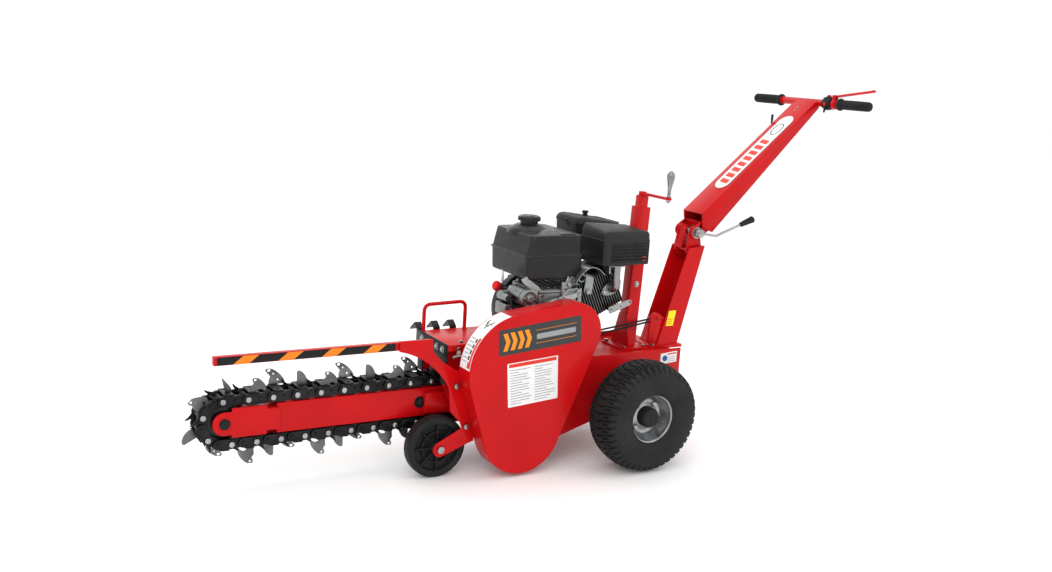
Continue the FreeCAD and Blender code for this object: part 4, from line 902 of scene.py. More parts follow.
def make_chain():
    """Cutters in a repeating order on the outer links, horns on the others, and bright pin heads."""
    spots = chain_spots()
    count = len(spots)
    templates = {
        "wide": as_mesh(blade_template(WIDE_FIN), "wide_fin"),
        "narrow": as_mesh(blade_template(NARROW_FIN), "narrow_fin"),
        "near": as_mesh(cup_template(-1, NEAR_EAR, [ring_points(1, 45.5, 4.2)], 9), "near_ear"),
        "far": as_mesh(cup_template(1, FAR_EAR, [ring_points(-6, 45, 5.4), ring_points(8, 32, 3.0),
                                                 ring_points(18, 13, 3.2)], 18), "far_ear"),
        "horn": as_mesh(horn_template(), "horn"),
        "foot": as_mesh(foot_template(), "foot"),
    }
    head = [(40.6, 9.2), (42.4, 9.2), (44.6, 8.4), (46.0, 6.4), (46.6, 3.2), (46.7, 0.4)]
    blades, cups, horns, feet, heads = (bmesh.new() for _ in range(5))
    for order, index in enumerate(range(0, count, 2)):
        first, second, third = (spots[(index + step) % count] for step in range(3))
        place = link_matrix(first, second)
        last = index == count - 2
        if last or order % 3 == 2:
            add_mesh(blades, templates["narrow" if last else "wide"], place)
        else:
            add_mesh(cups, templates["far" if order % 3 else "near"], place)
        add_mesh(feet, templates["foot"], place)
        add_mesh(horns, templates["horn"], link_matrix(second, third))
        for out in (-1, 1):
            lathe(heads, head, at(*first), (0, out, 0), 20)
    piece_from("fin_blades", blades, "boom", "cutter_steel", replaces=["cutter_blades"])
    piece_from("ear_cutters", cups, "boom", "cutter_steel", replaces=["cutter_cups"])
    piece_from("cutter_feet", feet, "boom", "link_steel")
    piece_from("link_horns", horns, "boom", "link_steel")
    piece_from("chain_pin_heads", heads, "boom", "bright_steel")
    for mesh in templates.values():
        bpy.data.meshes.remove(mesh)


def make_boom_details():
    """The beam's side bolts, the chain tensioner's bolt and the domed caps of the nose bolt."""
    bm = bmesh.new()
    for y in (-1, 1):
        hex_head(bm, at(-720, y * 38, 233), (0, y, 0), 15, 9)
    piece_from("beam_side_bolts", bm, "boom", "black_paint")
    bm = bmesh.new()
    tube(bm, [(-705, -49, 235), (-655, -49, 235)], 5.2)
    for x in (-698, -672):
        hex_head(bm, at(x, -49, 235), (1, 0, 0), 9, 7, washer=False)
    piece_from("tension_bolt", bm, "boom", "bright_steel")
    bm = bmesh.new()
    for y in (-1, 1):
        lathe(bm, [(-2, 16.5), (3.0, 16.5), (6.0, 15.4), (8.4, 12.4), (9.8, 8), (10.3, 1)],
              at(-1363, y * 46, 233), (0, y, 0), 48)
    piece_from("nose_bolt_caps", bm, "boom", "black_paint", replaces=["nose_bolt"])


def make_hazard_film():
    """Black film with leaning orange bands on the outer face of the safety bar."""
    x_low, _, y_low, y_high, z_low, z_high = extent("safety_bar")
    front, rear = x_low + 8, -861.0
    bottom, top = z_low + 1.2, z_high - 1.2
    place = plane_frame(at(0, y_low, 0), (1, 0, 0), (0, 0, 1))
    film("hazard_film_black", [(front, bottom), (rear, bottom), (rear, top), (front, top)], place,
         "black")
    band, lean, pitch, bands = 47.0, 30.0, 133.0, 4
    raised = place @ Matrix.Translation((0, 0, 0.75 * MM))
    bm = bmesh.new()
    for index in range(bands):
        x = front + 46 + index * pitch
        ring = [(x, bottom), (x + band, bottom), (x + band + lean, top), (x + lean, top)]
        add_mesh(bm, cut_sheet(ring, 0.35, edge=0.08), raised)
    piece_from("hazard_film_bands", bm, "frame", "black_paint", FILM["orange"])
    bm = bmesh.new()
    block(bm, (front - 9, y_low - 0.2, bottom - 1), (front - 5, y_high, top + 1), 1.0)
    piece_from("safety_bar_cap", bm, "frame", "red_paint")


# ---------------------------------------------------------------- printed films

RIM_CENTRE = Vector((-453, 0, 366))
RIM_RADIUS = 187.1
ARM_FOOT = Vector((384, 0, 842))
ARM_AHEAD = (Vector((894, 0, 1268)) - ARM_FOOT).normalized()


def inside(corners, left, bottom, right, top):
    """A part of a slanted plate, in shares of its width and height."""
    base, along, far, up = (Vector(corner) for corner in corners)
    shares = ((left, bottom), (right, bottom), (right, top), (left, top))
    return [tuple(base.lerp(along, u).lerp(up.lerp(far, u), v)) for u, v in shares]


def film_group(name, outlines, place, color, body="frame", lift=0.45):
    """Several thin shapes of one colour, printed on top of a film."""
    thickness = 0.3
    bm = bmesh.new()
    for outline in outlines:
        add_mesh(bm, cut_sheet(outline, thickness, edge=0.06),
                 place @ Matrix.Translation((0, 0, (thickness + lift) * MM)))
    piece_from(name, bm, body, "black_paint", FILM[color])


def make_cover_films():
    """The dark plate with its chevrons and lines, and the white notice under it."""
    low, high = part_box("belt_cover")
    place = plane_frame(at(0, low.y / MM, 0), (1, 0, 0), (0, 0, 1))
    plate = [(-539, 420), (-227, 449), (-234, 538), (-544, 506)]
    film("cover_plate_film", soft_outline(plate, 5), place, "grey")
    chevrons = []
    for index in range(4):
        left = 0.05 + 0.085 * index
        lower = inside(plate, left, 0.16, left + 0.05, 0.5)
        upper = inside(plate, left, 0.5, left + 0.05, 0.84)
        point = inside(plate, left + 0.035, 0.5, left + 0.085, 0.84)
        chevrons.append([lower[0], lower[1], point[1], upper[2], upper[3], point[0]])
    film_group("cover_plate_chevrons", chevrons, place, "amber")
    lines = [inside(plate, 0.44, 0.245, 0.94, 0.26), inside(plate, 0.44, 0.74, 0.94, 0.755)]
    film_group("cover_plate_lines", lines, place, "amber")
    bar = soft_outline(inside(plate, 0.45, 0.40, 0.93, 0.60), 4)
    film_group("cover_plate_bar", [bar], place, "pale_grey")
    sheet = [(-494, 245), (-306, 260), (-315, 407), (-506, 393)]
    film("cover_notice_film", soft_outline(sheet, 4), place, "white")
    film_group("cover_notice_header", [inside(sheet, 0.03, 0.90, 0.97, 0.98)], place, "red")
    random.seed(11)
    bars = []
    for column in (0.05, 0.53):
        for row in range(14):
            height = 0.06 + row * 0.059
            length = random.uniform(0.32, 0.42) if row % 4 else random.uniform(0.16, 0.28)
            bars.append(inside(sheet, column, height, column + length, height + 0.016))
    film_group("cover_notice_bars", bars, place, "pale_grey")
    make_rim_film(low.y / MM + 4.5, high.y / MM - 3)


def rim_patch(bm, radius, start, end, near, far, steps):
    """A thin curved strip on the cover's rim between two angles in degrees."""
    thickness = 0.4
    rows = []
    for index in range(steps + 1):
        angle = math.radians(start + (end - start) * index / steps)
        inner = RIM_CENTRE + about_y(radius, angle)
        outer = RIM_CENTRE + about_y(radius + thickness, angle)
        rows.append([at(inner.x, near, inner.z), at(inner.x, far, inner.z),
                     at(outer.x, far, outer.z), at(outer.x, near, outer.z)])
    add_grid(bm, rows, caps=True)


def make_rim_film(near, far):
    """The curved warning strip on the rim, as plain blocks of colour."""
    marks = [(start, start + 4, near + 18, near + 27, 36) for start in (144, 150, 156, 162)]
    marks += [(start, start + 5, near + 18 + offset, near + 23 + offset, 8)
              for offset, start in ((0, 120), (7, 123), (14, 126), (21, 123), (28, 120))]
    bars = [(start, start + 0.9, near + 32, far - 8, 4) for start in range(144, 172, 4)]
    reds = [(142, 173, near + 3, near + 14, 36), (168, 174, near + 3, near + 22, 36)]
    for name, color, lift, patches in (("white", "white", 0.0, [(104, 176, near, far, 36)]),
                                       ("red", "red", 0.3, reds),
                                       ("marks", "black", 0.3, marks),
                                       ("bars", "pale_grey", 0.3, bars)):
        bm = bmesh.new()
        for patch in patches:
            rim_patch(bm, RIM_RADIUS + lift, *patch)
        piece_from(f"rim_film_{name}", bm, "frame", "black_paint", FILM[color])


def make_small_films():
    """The yellow label on the column and the notice on the side plate."""
    place = plane_frame(at(0, -52, 0), (1, 0, 0), (0, 0, 1))
    yellow = [(262, 425), (295, 425), (305, 482), (272, 482)]
    film("column_film", soft_outline(yellow, 2), place, "yellow")
    bars = [inside(yellow, 0.15, height, 0.8, height + 0.06) for height in (0.12, 0.26, 0.40)]
    film_group("column_film_bars", bars, place, "amber")
    side = plane_frame(at(0, -150, 0), (1, 0, 0), (0, 0, 1))
    notice = [(173, 312), (246, 318), (246, 358), (173, 352)]
    film("side_film", soft_outline(notice, 2), side, "white")
    film_group("side_film_header", [inside(notice, 0.42, 0.78, 0.95, 0.90)], side, "red")
    film_group("side_film_disc", [ring_points(193, 334, 11)], side, "blue")
    bars = [inside(notice, 0.45, height, 0.9, height + 0.05) for height in (0.15, 0.33, 0.51)]
    film_group("side_film_bars", bars, side, "pale_grey")


def stadium(start, end, half):
    """A long oval with round ends, along X."""
    steps = 14
    points = []
    for centre, first in ((end, -math.pi / 2), (start, math.pi / 2)):
        for index in range(steps + 1):
            angle = first + math.pi * index / steps
            points.append((centre + half * math.cos(angle), half * math.sin(angle)))
    return points


def make_arm_film():
    """A white oval with a dark line round it, a plain row of slanted blocks and an oval ring."""
    foot = ARM_FOOT - Vector((0, 3, 0))
    place = plane_frame(at(*foot), ARM_AHEAD, (0, 1, 0))
    body = "upper_arm"
    film("arm_film_line", stadium(172, 532, 37), place, "grey", body)
    film("arm_film_white", stadium(172, 532, 34.5), place, "white", body, lift=0.25)
    blocks = []
    for index in range(8):
        left = 166 + index * 33
        blocks.append(soft_outline([(left, -22), (left + 21, -22), (left + 26, 22), (left + 5, 22)], 2))
    film_group("arm_film_blocks", blocks, place, "red", body, 0.75)
    oval, core = ([(486 + long * math.cos(turn), wide * math.sin(turn)) for turn in turns(32)]
                  for long, wide in ((34, 23), (30, 19)))
    bm = bmesh.new()
    add_mesh(bm, cut_sheet(oval, 0.3, [core], 0.06), place @ Matrix.Translation((0, 0, 1.05 * MM)))
    piece_from("arm_film_ring", bm, body, "black_paint", FILM["grey"])


# ---------------------------------------------------------------- handle and controls

def strap(bm, points, across, half, thick, bend):
    """A flat strip along rounded runs, half wide each side along a direction."""
    path = smooth_path(points, bend)
    side = Vector(across).normalized() * half
    soft, inner = 0.75, 0.985
    rows = []
    for index, point in enumerate(path):
        heading = path[min(index + 1, len(path) - 1)] - path[max(index - 1, 0)]
        out = heading.normalized().cross(side.normalized()).normalized() * (thick / 2)
        half_ring = [side + out * soft, side * inner + out, -side * inner + out, -side + out * soft]
        rows.append([at(*(point + offset)) for offset in half_ring + [-part for part in half_ring]])
    add_grid(bm, rows, caps=True)


def make_handle_grips():
    """Ribbed rubber grips with a guard flange at their inner ends."""
    x_low, x_high, y_low, y_high, z_low, z_high = extent("handle_grips")
    x, z = (x_low + x_high) / 2, (z_low + z_high) / 2
    flange = (z_high - z_low) / 2
    length, radius, rib, ribs = 150.0, 17.6, 3.4, 38
    profile = [(0, 1.0), (0, 9), (0.8, 12.5), (2.6, 15.2), (5.5, 16.8)]
    for step in range(ribs):
        along = 8.0 + rib * step
        high = radius - 0.9 * (step % 2) + 0.5 * math.sin(math.pi * along / length)
        profile += [(along, high - 0.4), (along + 0.7, high), (along + rib - 0.7, high),
                    (along + rib, high - 0.4)]
    profile += [(length - 13, radius), (length - 9, radius + 1.6), (length - 7, flange - 1.2),
                (length - 5.6, flange), (length - 1.6, flange), (length - 0.4, flange - 1.0),
                (length, flange - 3), (length, 14.4)]
    bm = bmesh.new()
    for side, start in ((1, y_low), (-1, y_high)):
        lathe(bm, profile, at(x, start, z), (0, side, 0), 56)
    piece_from("ribbed_grips", bm, "upper_arm", "grip_rubber", replaces=["handle_grips"], smooth=45)


def make_switch_block():
    """A clamped switch housing in two halves, with its screws, a rocker and the lead's gland."""
    x_low, x_high, y_low, y_high, *_ = extent("switch_block")
    x, z = (x_low + x_high) / 2, 1262.0
    centre = at(x, y_low, z)
    width = y_high - y_low
    bm = bmesh.new()
    lathe(bm, [(0, 14.4), (0, 18), (1.6, 20.6), (4, 21.6), (width / 2 - 1.2, 22),
               (width / 2 - 0.4, 21), (width / 2 + 0.4, 21), (width / 2 + 1.2, 22),
               (width - 4, 21.6), (width - 1.6, 20.6), (width, 18), (width, 14.4)],
          centre, (0, 1, 0), 48)
    block(bm, (x - 15.5, y_low + 4, z + 6), (x + 15.5, y_low + 38, z + 24), 5)
    lathe(bm, [(0, 11), (4, 11), (5.4, 9.6), (5.4, 7.3)], at(x, -97, z + 22.4), (0, 0, 1), 32)
    block(bm, (x - 24, y_low + 9, z - 12), (x - 14, y_low + 30, z + 8), 3)
    block(bm, (x - 20, y_low + 12, z - 24), (x + 8, y_low + 27, z - 17), 3)
    tube(bm, [(x - 18, y_low + 20, z - 20), (x - 20, y_low + 22, z - 34)], [4.6, 3.2], segments=14)
    piece_from("switch_housing", bm, "upper_arm", "black_plastic", replaces=["switch_block"])
    bm = bmesh.new()
    for y in (y_low + 9, y_low + 34):
        hex_head(bm, at(x + 16, y, z - 19), (0.3, 0, -1), 4.2, 3, washer=False)
    piece_from("switch_screws", bm, "upper_arm", "bright_steel")
    bm = bmesh.new()
    block(bm, (x - 26.4, y_low + 13, z - 7), (x - 23, y_low + 26, z + 4), 1.4)
    piece_from("switch_rocker", bm, "upper_arm", "red_plastic")


def make_stop_button():
    """A round push button with a domed edge."""
    (x, y), _ = footprint("stop_button")
    *_, z_low, z_high = extent("stop_button")
    tall = z_high - z_low
    bm = bmesh.new()
    lathe(bm, [(0, 6.9), (tall * 0.45, 6.9), (tall * 0.5, 7.0), (tall * 0.86, 7.0),
               (tall * 0.95, 6.3), (tall, 4.4), (tall - 0.4, 1.0)], at(x, y, z_low), (0, 0, 1), 40)
    piece_from("stop_button_cap", bm, "stop_button", "red_plastic", replaces=["stop_button"],
               smooth=50)


def make_drive_lever():
    """A flat pressed lever that rises over the near grip."""
    pivot = Vector(off_axle(JOINTS["drive_lever_squeeze"]["pos_m"]))
    _, x_high, y_low, _, _, z_high = extent("drive_lever")
    tip = Vector((x_high - 5.0, y_low + 2, z_high - 5))
    ahead = (tip - pivot).normalized()
    bm = bmesh.new()
    strap(bm, [pivot + ahead * 13, pivot + ahead * 30, pivot + ahead * 50,
               tip - ahead * 8 - Vector((0, 0, 1)), tip], (1, 0, -0.12), 5.6, 7.4, bend=10)
    lathe(bm, [(-3, 2.7), (-3, 5), (-2.4, 6), (2.4, 6), (3, 5), (3, 2.7)],
          at(*pivot), (1, 0, 0), 28, closed=True)
    tube(bm, [pivot + ahead * 4.6, pivot + ahead * 20], 2.8, segments=12)
    piece_from("drive_lever_blade", bm, "drive_lever", "red_plastic", replaces=["drive_lever"])


def make_clamp_grip():
    """The flared, fluted hand grip at the end of the clamp lever."""
    knee, tip = Vector((446, -71, 760)), Vector((566, -71, 802))
    ahead = (tip - knee).normalized()
    bm = bmesh.new()
    fluted(bm, [(0, 7.4, 0), (1.4, 8.8, 0), (6, 9.4, 0), (8, 9.6, 0.5), (20, 10.3, 0.8),
                (36, 11.3, 0.9), (48, 12.1, 0.9), (54, 12.5, 0.4), (57, 12.9, 0), (60, 12.6, 0),
                (61.6, 11.2, 0), (61.9, 5, 0)], axis_frame(at(*(tip - ahead * 8)), ahead))
    piece_from("clamp_hand_grip", bm, "clamp_lever", "black_plastic", replaces=["clamp_grip"],
               smooth=40)


def make_crank_grip():
    """A polished teardrop handle that turns on the crank's peg."""
    joint = JOINTS["crank_grip_spin"]
    foot, along = Vector(joint["pos_m"]), Vector(joint["axis"])
    bm = bmesh.new()
    lathe(bm, [(0, 6.4), (1.2, 7.4), (4, 7.6), (6, 6.4), (10, 5.9), (20, 6.0), (32, 7.0), (44, 9.0),
               (56, 11.6), (66, 13.4), (74, 14.0), (80, 13.2), (85, 11.0), (88, 8.2), (89.6, 4.6),
               (90, 1.0)], foot, along, 56)
    piece_from("crank_hand_grip", bm, "crank_grip", "chromed", replaces=["crank_grip"], smooth=60)
    bm = bmesh.new()
    hex_head(bm, foot - along * 11.8 * MM, -along, 6.5, 5)
    piece_from("crank_nut", bm, "lift_crank", "bright_steel")


def make_arm_details():
    """The two rivets near the arm's top, the pivot's washers and the throttle's dark sleeve."""
    out = (-ARM_AHEAD.z, 0, ARM_AHEAD.x)
    bm = bmesh.new()
    for along in (604, 622):
        lathe(bm, [(0, 3.4), (0.9, 3.3), (1.5, 2.2), (1.6, 0.4)],
              at(*(ARM_FOOT + ARM_AHEAD * along + Vector((0, 8, 0)))), out, 20)
    piece_from("arm_rivets", bm, "upper_arm", "bright_steel")
    bm = bmesh.new()
    x, _, z = off_axle(JOINTS["handle_tilt"]["pos_m"])
    for y, side in ((-49.2, -1), (49.0, 1)):
        lathe(bm, [(0, 10.2), (0, 21), (2.0, 21), (2.6, 20.2), (2.6, 10.2)], at(x, y, z),
              (0, side, 0), 40, closed=True)
    piece_from("pivot_washers", bm, "upper_arm", "bright_steel")
    bm = bmesh.new()
    (x, y), _ = footprint("throttle_lever")
    top = extent("throttle_lever")[5]
    lathe(bm, [(0, 3.4), (20, 3.4), (22, 4.4), (44, 4.8), (46, 3.6), (46.4, 0.4)],
          at(x, y, top - 45.4), (0, 0, 1), 24)
    piece_from("throttle_sleeve", bm, "throttle_lever", "black_plastic")


# ---------------------------------------------------------------- engine

def tank_levels(low, high, centre, half, steps):
    """Levels for a loft from (share of the height, inset); the inset is smaller across."""
    corner, tightest = 21, 8
    return [(low + (high - low) * share, *centre, half[0] - inset, half[1] - inset * 0.7,
             max(corner - inset * 0.3, tightest)) for share, inset in steps]


def make_tank():
    """Two blow-moulded halves that meet in a flanged seam, the lower one cut away at the rear."""
    x_low, x_high, y_low, y_high, z_low, z_high = extent("fuel_tank")
    centre, half = footprint("fuel_tank")
    seam, neck, lip = 710.0, 15, 2.6
    top = z_high - neck
    cut_wide, cut_tall, lean_back = 50.0, 42.0, 14
    lower = bmesh.new()
    loft(lower, tank_levels(z_low, seam - lip, centre, half,
                            [(0, 17), (0.012, 12), (0.05, 9), (0.12, 8), (0.3, 7.4), (0.6, 6.4),
                             (0.9, 5.4), (0.97, 5), (1, 4.5)]), MACHINE, 8)
    slope = Vector((cut_tall, 0, -cut_wide)).normalized()
    made = bmesh.ops.bisect_plane(lower, geom=[*lower.verts, *lower.edges, *lower.faces],
                                  plane_co=at(x_high - cut_wide, 0, z_low), plane_no=slope,
                                  clear_outer=True)
    rim = [item for item in made["geom_cut"] if isinstance(item, bmesh.types.BMEdge)]
    bmesh.ops.contextual_create(lower, geom=rim)
    upper = bmesh.new()
    loft(upper, tank_levels(seam + lip, top, centre, half,
                            [(0, 4.5), (0.03, 6), (0.1, 6.5), (0.5, 8), (0.84, 9.6), (0.87, 11),
                             (0.89, 13.4), (0.90, 17), (0.915, 24), (0.93, 36), (0.945, 50),
                             (0.96, 66), (0.98, 80), (0.99, 90), (1, 100)]), MACHINE, 8)
    front, rear = at(x_low, 0, seam), at(x_high, 0, seam)
    lean = lean_back / (top - seam)
    for vert in upper.verts:
        share = (rear.x - vert.co.x) / (rear.x - front.x)
        vert.co.x += lean * share * (vert.co.z - front.z)
    bm = bmesh.new()
    add_mesh(bm, as_mesh(lower, "tank_lower"), Matrix.Identity(4))
    add_mesh(bm, as_mesh(upper, "tank_upper"), Matrix.Identity(4))
    loft(bm, tank_levels(seam - 3, seam + 3, centre, half,
                         [(0, 2.5), (0.12, 0.8), (0.3, 0), (0.7, 0), (0.88, 0.8), (1, 2.5)]),
         MACHINE, 8)
    block(bm, (x_high - 96, y_low + 12, top - 26), (x_high - 38, y_low + 52, top - 3), 4)
    block(bm, (x_low + 36, y_low + 60, top - 24), (x_low + 62, y_high - 60, top - 2), 4)
    filler = middle("fuel_cap")
    lathe(bm, [(-16, 78), (-3, 70), (3, 58), (8.5, 49), (11.5, 44), (12.2, 40), (12.4, 33),
               (14.6, 31), (14.8, 27), (14.8, 1)], Vector((filler.x, filler.y, top * MM)), (0, 0, 1))
    piece_from("fuel_tank_shell", bm, "frame", "tank_plastic", replaces=["fuel_tank"], smooth=36)


def make_fuel_cap():
    """A screw cap with grip flutes round its edge and a raised ring on top."""
    centre, half = footprint("fuel_cap")
    radius = half[0]
    *_, z_low, z_high = extent("fuel_cap")
    tall = z_high - z_low
    profile = [(0, radius - 10, 0), (0.6, radius - 9, 0), (8, radius - 9, 0), (8.8, radius - 2, 0),
               (9.4, radius - 0.6, 0), (10.4, radius, 1.6), (tall - 7, radius, 1.6),
               (tall - 5, radius - 1, 1.0), (tall - 3.4, radius - 3.4, 0), (tall - 1.6, radius - 7, 0),
               (tall - 1.2, radius - 11, 0), (tall - 2.6, radius - 12.4, 0),
               (tall - 2.6, radius - 20, 0), (tall - 0.8, radius - 21.6, 0), (tall, 9, 0), (tall, 1, 0)]
    bm = bmesh.new()
    fluted(bm, profile, Matrix.Translation(at(*centre, z_low)), 144)
    piece_from("fuel_cap_shell", bm, "fuel_cap", "tank_plastic", replaces=["fuel_cap"], smooth=40)


def make_muffler():
    """A pressed heat shield with a crowned top, rows of louvres and painted shadow under each louvre."""
    x_low, x_high, y_low, y_high, z_low, z_high = extent("muffler")
    centre, half = footprint("muffler")
    steps = [(z_low, 2.6), (z_low + 0.6, 1.2), (z_low + 2, 0.2), (z_low + 86, 0.2),
             (z_low + 87.4, 1.4), (z_low + 89, 1.6), (z_high - 16, 2.6), (z_high - 12, 4.0),
             (z_high - 8.4, 6.8), (z_high - 6, 11), (z_high - 4.4, 17), (z_high - 2, 32),
             (z_high, 52)]
    bm = bmesh.new()
    loft(bm, inset_levels(centre, half, [(height, inset, max(9 - inset * 0.1, 6))
                                         for height, inset in steps]), MACHINE, 8)
    rise, shoulder = 17.0, z_high - 22
    for vert in bm.verts:
        x, y, z = off_axle(vert.co)
        if z > shoulder:
            across = (y - y_low) / (y_high - y_low)
            along = (x - x_low) / (x_high - x_low)
            share = min((z - shoulder) / 16, 1.0)
            vert.co.z += rise * MM * across * (1 - 0.8 * along) * share
    louvres = [z_low + 12 + row * 11.2 for row in range(6)]
    for z in louvres:
        for left, right in ((34, 116), (126, x_high - 14 - x_low)):
            block(bm, (x_low + left, y_low - 4.0, z + 1.2), (x_low + right, y_low + 1.2, z + 5.4), 1.6)
            block(bm, (x_high - 1.4, y_low + left * 0.66, z + 1.4),
                  (x_high + 2.2, y_low + right * 0.66, z + 5.0), 1.3)
    block(bm, (x_low + 119, y_low - 1.8, z_low + 6), (x_low + 123, y_low + 1, z_low + 72), 1.2)
    for x in (x_low + 10, x_high - 8):
        block(bm, (x - 2, y_low - 1.0, z_low + 4), (x + 2, y_low + 1, z_low + 74), 0.9)
    piece_from("muffler_shield", bm, "frame", "muffler_black", replaces=["muffler"], smooth=36)
    # Painted shadow: near-black film strips just under each louvre stand for the shade in its opening.
    bm = bmesh.new()
    for z in louvres:
        for left, right in ((x_low + 36, x_low + 114), (x_low + 128, x_high - 16)):
            block(bm, (left, y_low - 0.5, z - 2.6), (right, y_low + 0.6, z + 1.0), 0.4)
    piece_from("muffler_louvre_shadows", bm, "frame", "muffler_black", FILM["black"])
    bm = bmesh.new()
    for z in (z_low + 14, z_low + 26):
        for x in (x_high - 33, x_high - 25):
            block(bm, (x, y_low - 4.4, z), (x + 4.6, y_low - 3.6, z + 3.6), 0.2)
    piece_from("muffler_marks", bm, "frame", "red_paint", FILM["red"])


def oval_flange(width, tall, thickness, spread):
    """A two-bolt flange: an oval plate with a hole near each end."""
    outline = [(width / 2 * math.cos(angle),
                tall / 2 * math.sin(angle) * (1 - 0.35 * abs(math.cos(angle)) ** 3))
               for angle in turns(48)]
    holes = [ring_points(spread, 0, 4.2, 16), ring_points(-spread, 0, 4.2, 16)]
    return cut_sheet(outline, thickness, holes, 0.8)


def make_exhaust_pipe():
    """The polished elbow from the cylinder's port up into the muffler, with its two flanges."""
    x_low, x_high, y_low, y_high, z_low, z_high = extent("exhaust_pipe")
    x, radius = (x_low + x_high) / 2, (x_high - x_low) / 2
    near, floor = y_low + radius, z_low + radius
    bm = bmesh.new()
    tube(bm, [(x, near, z_high), (x, near, floor + 26), (x, near + 3, floor + 9),
              (x, near + 12, floor + 1.5), (x, y_high, floor)], radius, bend=16, segments=40)
    piece_from("exhaust_elbow", bm, "frame", "chromed", replaces=["exhaust_pipe"], smooth=60)
    spread, flange = 31, 8
    bm = bmesh.new()
    port = plane_frame(at(x, y_high - 1, floor), (0.92, 0, 0.38), (-0.38, 0, 0.92))
    face = port @ Matrix.Translation((0, 0, flange / 2 * MM))
    add_mesh(bm, oval_flange(84, 46, flange, spread), face)
    top = plane_frame(at(x, near, z_high - 3), (1, 0, 0), (0, 1, 0))
    add_mesh(bm, oval_flange(70, 42, 5, 26), top)
    block(bm, (x - 34, near - 4, z_high - 34), (x - 26, near + 30, z_high - 2), 1.5)
    piece_from("exhaust_flanges", bm, "frame", "engine_cast")
    bm = bmesh.new()
    for side in (-1, 1):
        hex_head(bm, face @ Vector((side * spread * MM, 0, 0)), (0, -1, 0), 7.5, 7)
    piece_from("exhaust_nuts", bm, "frame", "bright_steel")


def make_air_cleaner():
    """A two-part moulded cover whose ribbed lid falls towards the operator, and its wing knob."""
    x_low, x_high, _, _, z_low, z_high = extent("air_cleaner")
    centre, half = footprint("air_cleaner")
    x, y = centre
    lid, top = z_high - 38, z_high - 16
    bm = bmesh.new()
    loft(bm, inset_levels(centre, half, [(z_low, 16, 20), (z_low + 4, 10, 22), (z_low + 30, 6, 24),
                                         (lid - 22, 3, 26), (lid - 4, 2.4, 26)]), MACHINE, 7)
    loft(bm, inset_levels(centre, half, [(lid - 5, 1.4, 26), (lid - 4, 0, 27), (lid, 0, 27),
                                         (lid + 7, 2.5, 25), (lid + 15, 7, 22), (top - 3, 14, 18),
                                         (top - 0.8, 24, 14), (top, 38, 8)]), MACHINE, 7)
    for offset in (-34, -17, 17, 34):
        block(bm, (x_low + 30, y + offset - 3.2, top - 6),
              (x_high - 30, y + offset + 3.2, top + 0.8), 2)
    for sign in (-1, 1):
        clip = x + sign * (half[0] - 4)
        block(bm, (clip - 4, y - 12, lid - 18), (clip + 4, y + 12, lid + 6), 2.5)
    fall, front = 22.0, x_low + 30
    for vert in bm.verts:
        vert_x, _, vert_z = off_axle(vert.co)
        rise = min(max((vert_z - lid) / 16, 0.0), 1.0)
        along = max(vert_x - front, 0.0) / (x_high - front)
        vert.co.z -= fall * MM * along * rise
    piece_from("air_cleaner_cover", bm, "frame", "black_plastic", replaces=["air_cleaner"])
    knob_x, seat = -12.0, top - 9.0
    bm = bmesh.new()
    lathe(bm, [(0, 9), (8, 9.5), (9, 8), (11, 7.6), (13, 11.2), (18, 11.8), (20, 11), (20.6, 8),
               (20.6, 1)], at(knob_x, y, seat), (0, 0, 1), 24)
    for wing in (knob_x - 9, knob_x + 9):
        block(bm, (wing - 4, y - 2.4, seat + 12), (wing + 4, y + 2.4, seat + 20.6), 1.6)
    piece_from("air_cleaner_knob", bm, "frame", "black_plastic")


CYLINDER_TILT = math.radians(25)


def cylinder_matrix():
    """The cylinder's own frame: Z from the crankshaft towards the head, Y across the machine."""
    seat = Vector((CRANK.x, 0, CRANK.z))
    return Matrix.Translation(seat) @ Matrix.Rotation(math.pi / 2 - CYLINDER_TILT, 4, "Y")


def make_cylinder():
    """A barrel and head with thin cooling fins, and the rocker cover on its flange."""
    cylinder = cylinder_matrix()
    bm = bmesh.new()
    loft(bm, inset_levels((-1, 0), (50, 58), [(112, 0, 12), (292, 0, 12)]), cylinder, 4)
    first_fin, pitch, fins, thick = 132, 9.6, 17, 3.0
    for index in range(fins):
        low = first_fin + pitch * index
        high = low + thick
        loft(bm, inset_levels((-3, 0), (75, 77), [(low, 1.2, 9), (low + 0.7, 0, 10),
                                                  (high - 0.7, 0, 10), (high, 1.2, 9)]), cylinder, 4)
    for x in (-52, 46):
        for y in (-60, 60):
            loft(bm, [(126, x, y, 6, 6, 5), (290, x, y, 6, 6, 5)], cylinder, 3)
    # The fins take the darker copy of the cast finish as painted shade between them.
    piece_from("finned_cylinder", bm, "frame", "engine_cast", MATERIALS["engine_cast_fin_shade"],
               replaces=["engine_cylinder"])
    seat, head, flange = 292.3, -10, 8
    bm = bmesh.new()
    loft(bm, inset_levels((head, 0), (44, 62), [(seat - 6, 2, 12), (seat + 0.6, 0, 12),
                                                (seat + 7.4, 0, 12), (seat + flange, 2, 12)]),
         cylinder, 4)
    loft(bm, inset_levels((head, 0), (37, 55), [(seat + 7, 0, 13), (seat + 12, 0, 13),
                                                (seat + 22, 2, 13), (seat + 27, 6, 12),
                                                (seat + 29.6, 13, 9), (seat + 30, 21, 6)]),
         cylinder, 5)
    for y in (-26, 0, 26):
        loft(bm, [(seat + 24, head, y, 26, 3, 2.5), (seat + 30.4, head, y, 22, 2.4, 2)], cylinder, 3)
    piece_from("rocker_cover_casting", bm, "frame", "engine_cast", replaces=["rocker_cover"])
    bm = bmesh.new()
    axis = cylinder.to_3x3() @ Vector((0, 0, 1))
    for x in (-48, 28):
        for y in (-50, 50):
            hex_head(bm, cylinder @ (Vector((x, y, seat + flange)) * MM), axis, 5.6, 6)
    piece_from("rocker_cover_bolts", bm, "frame", "bright_steel")


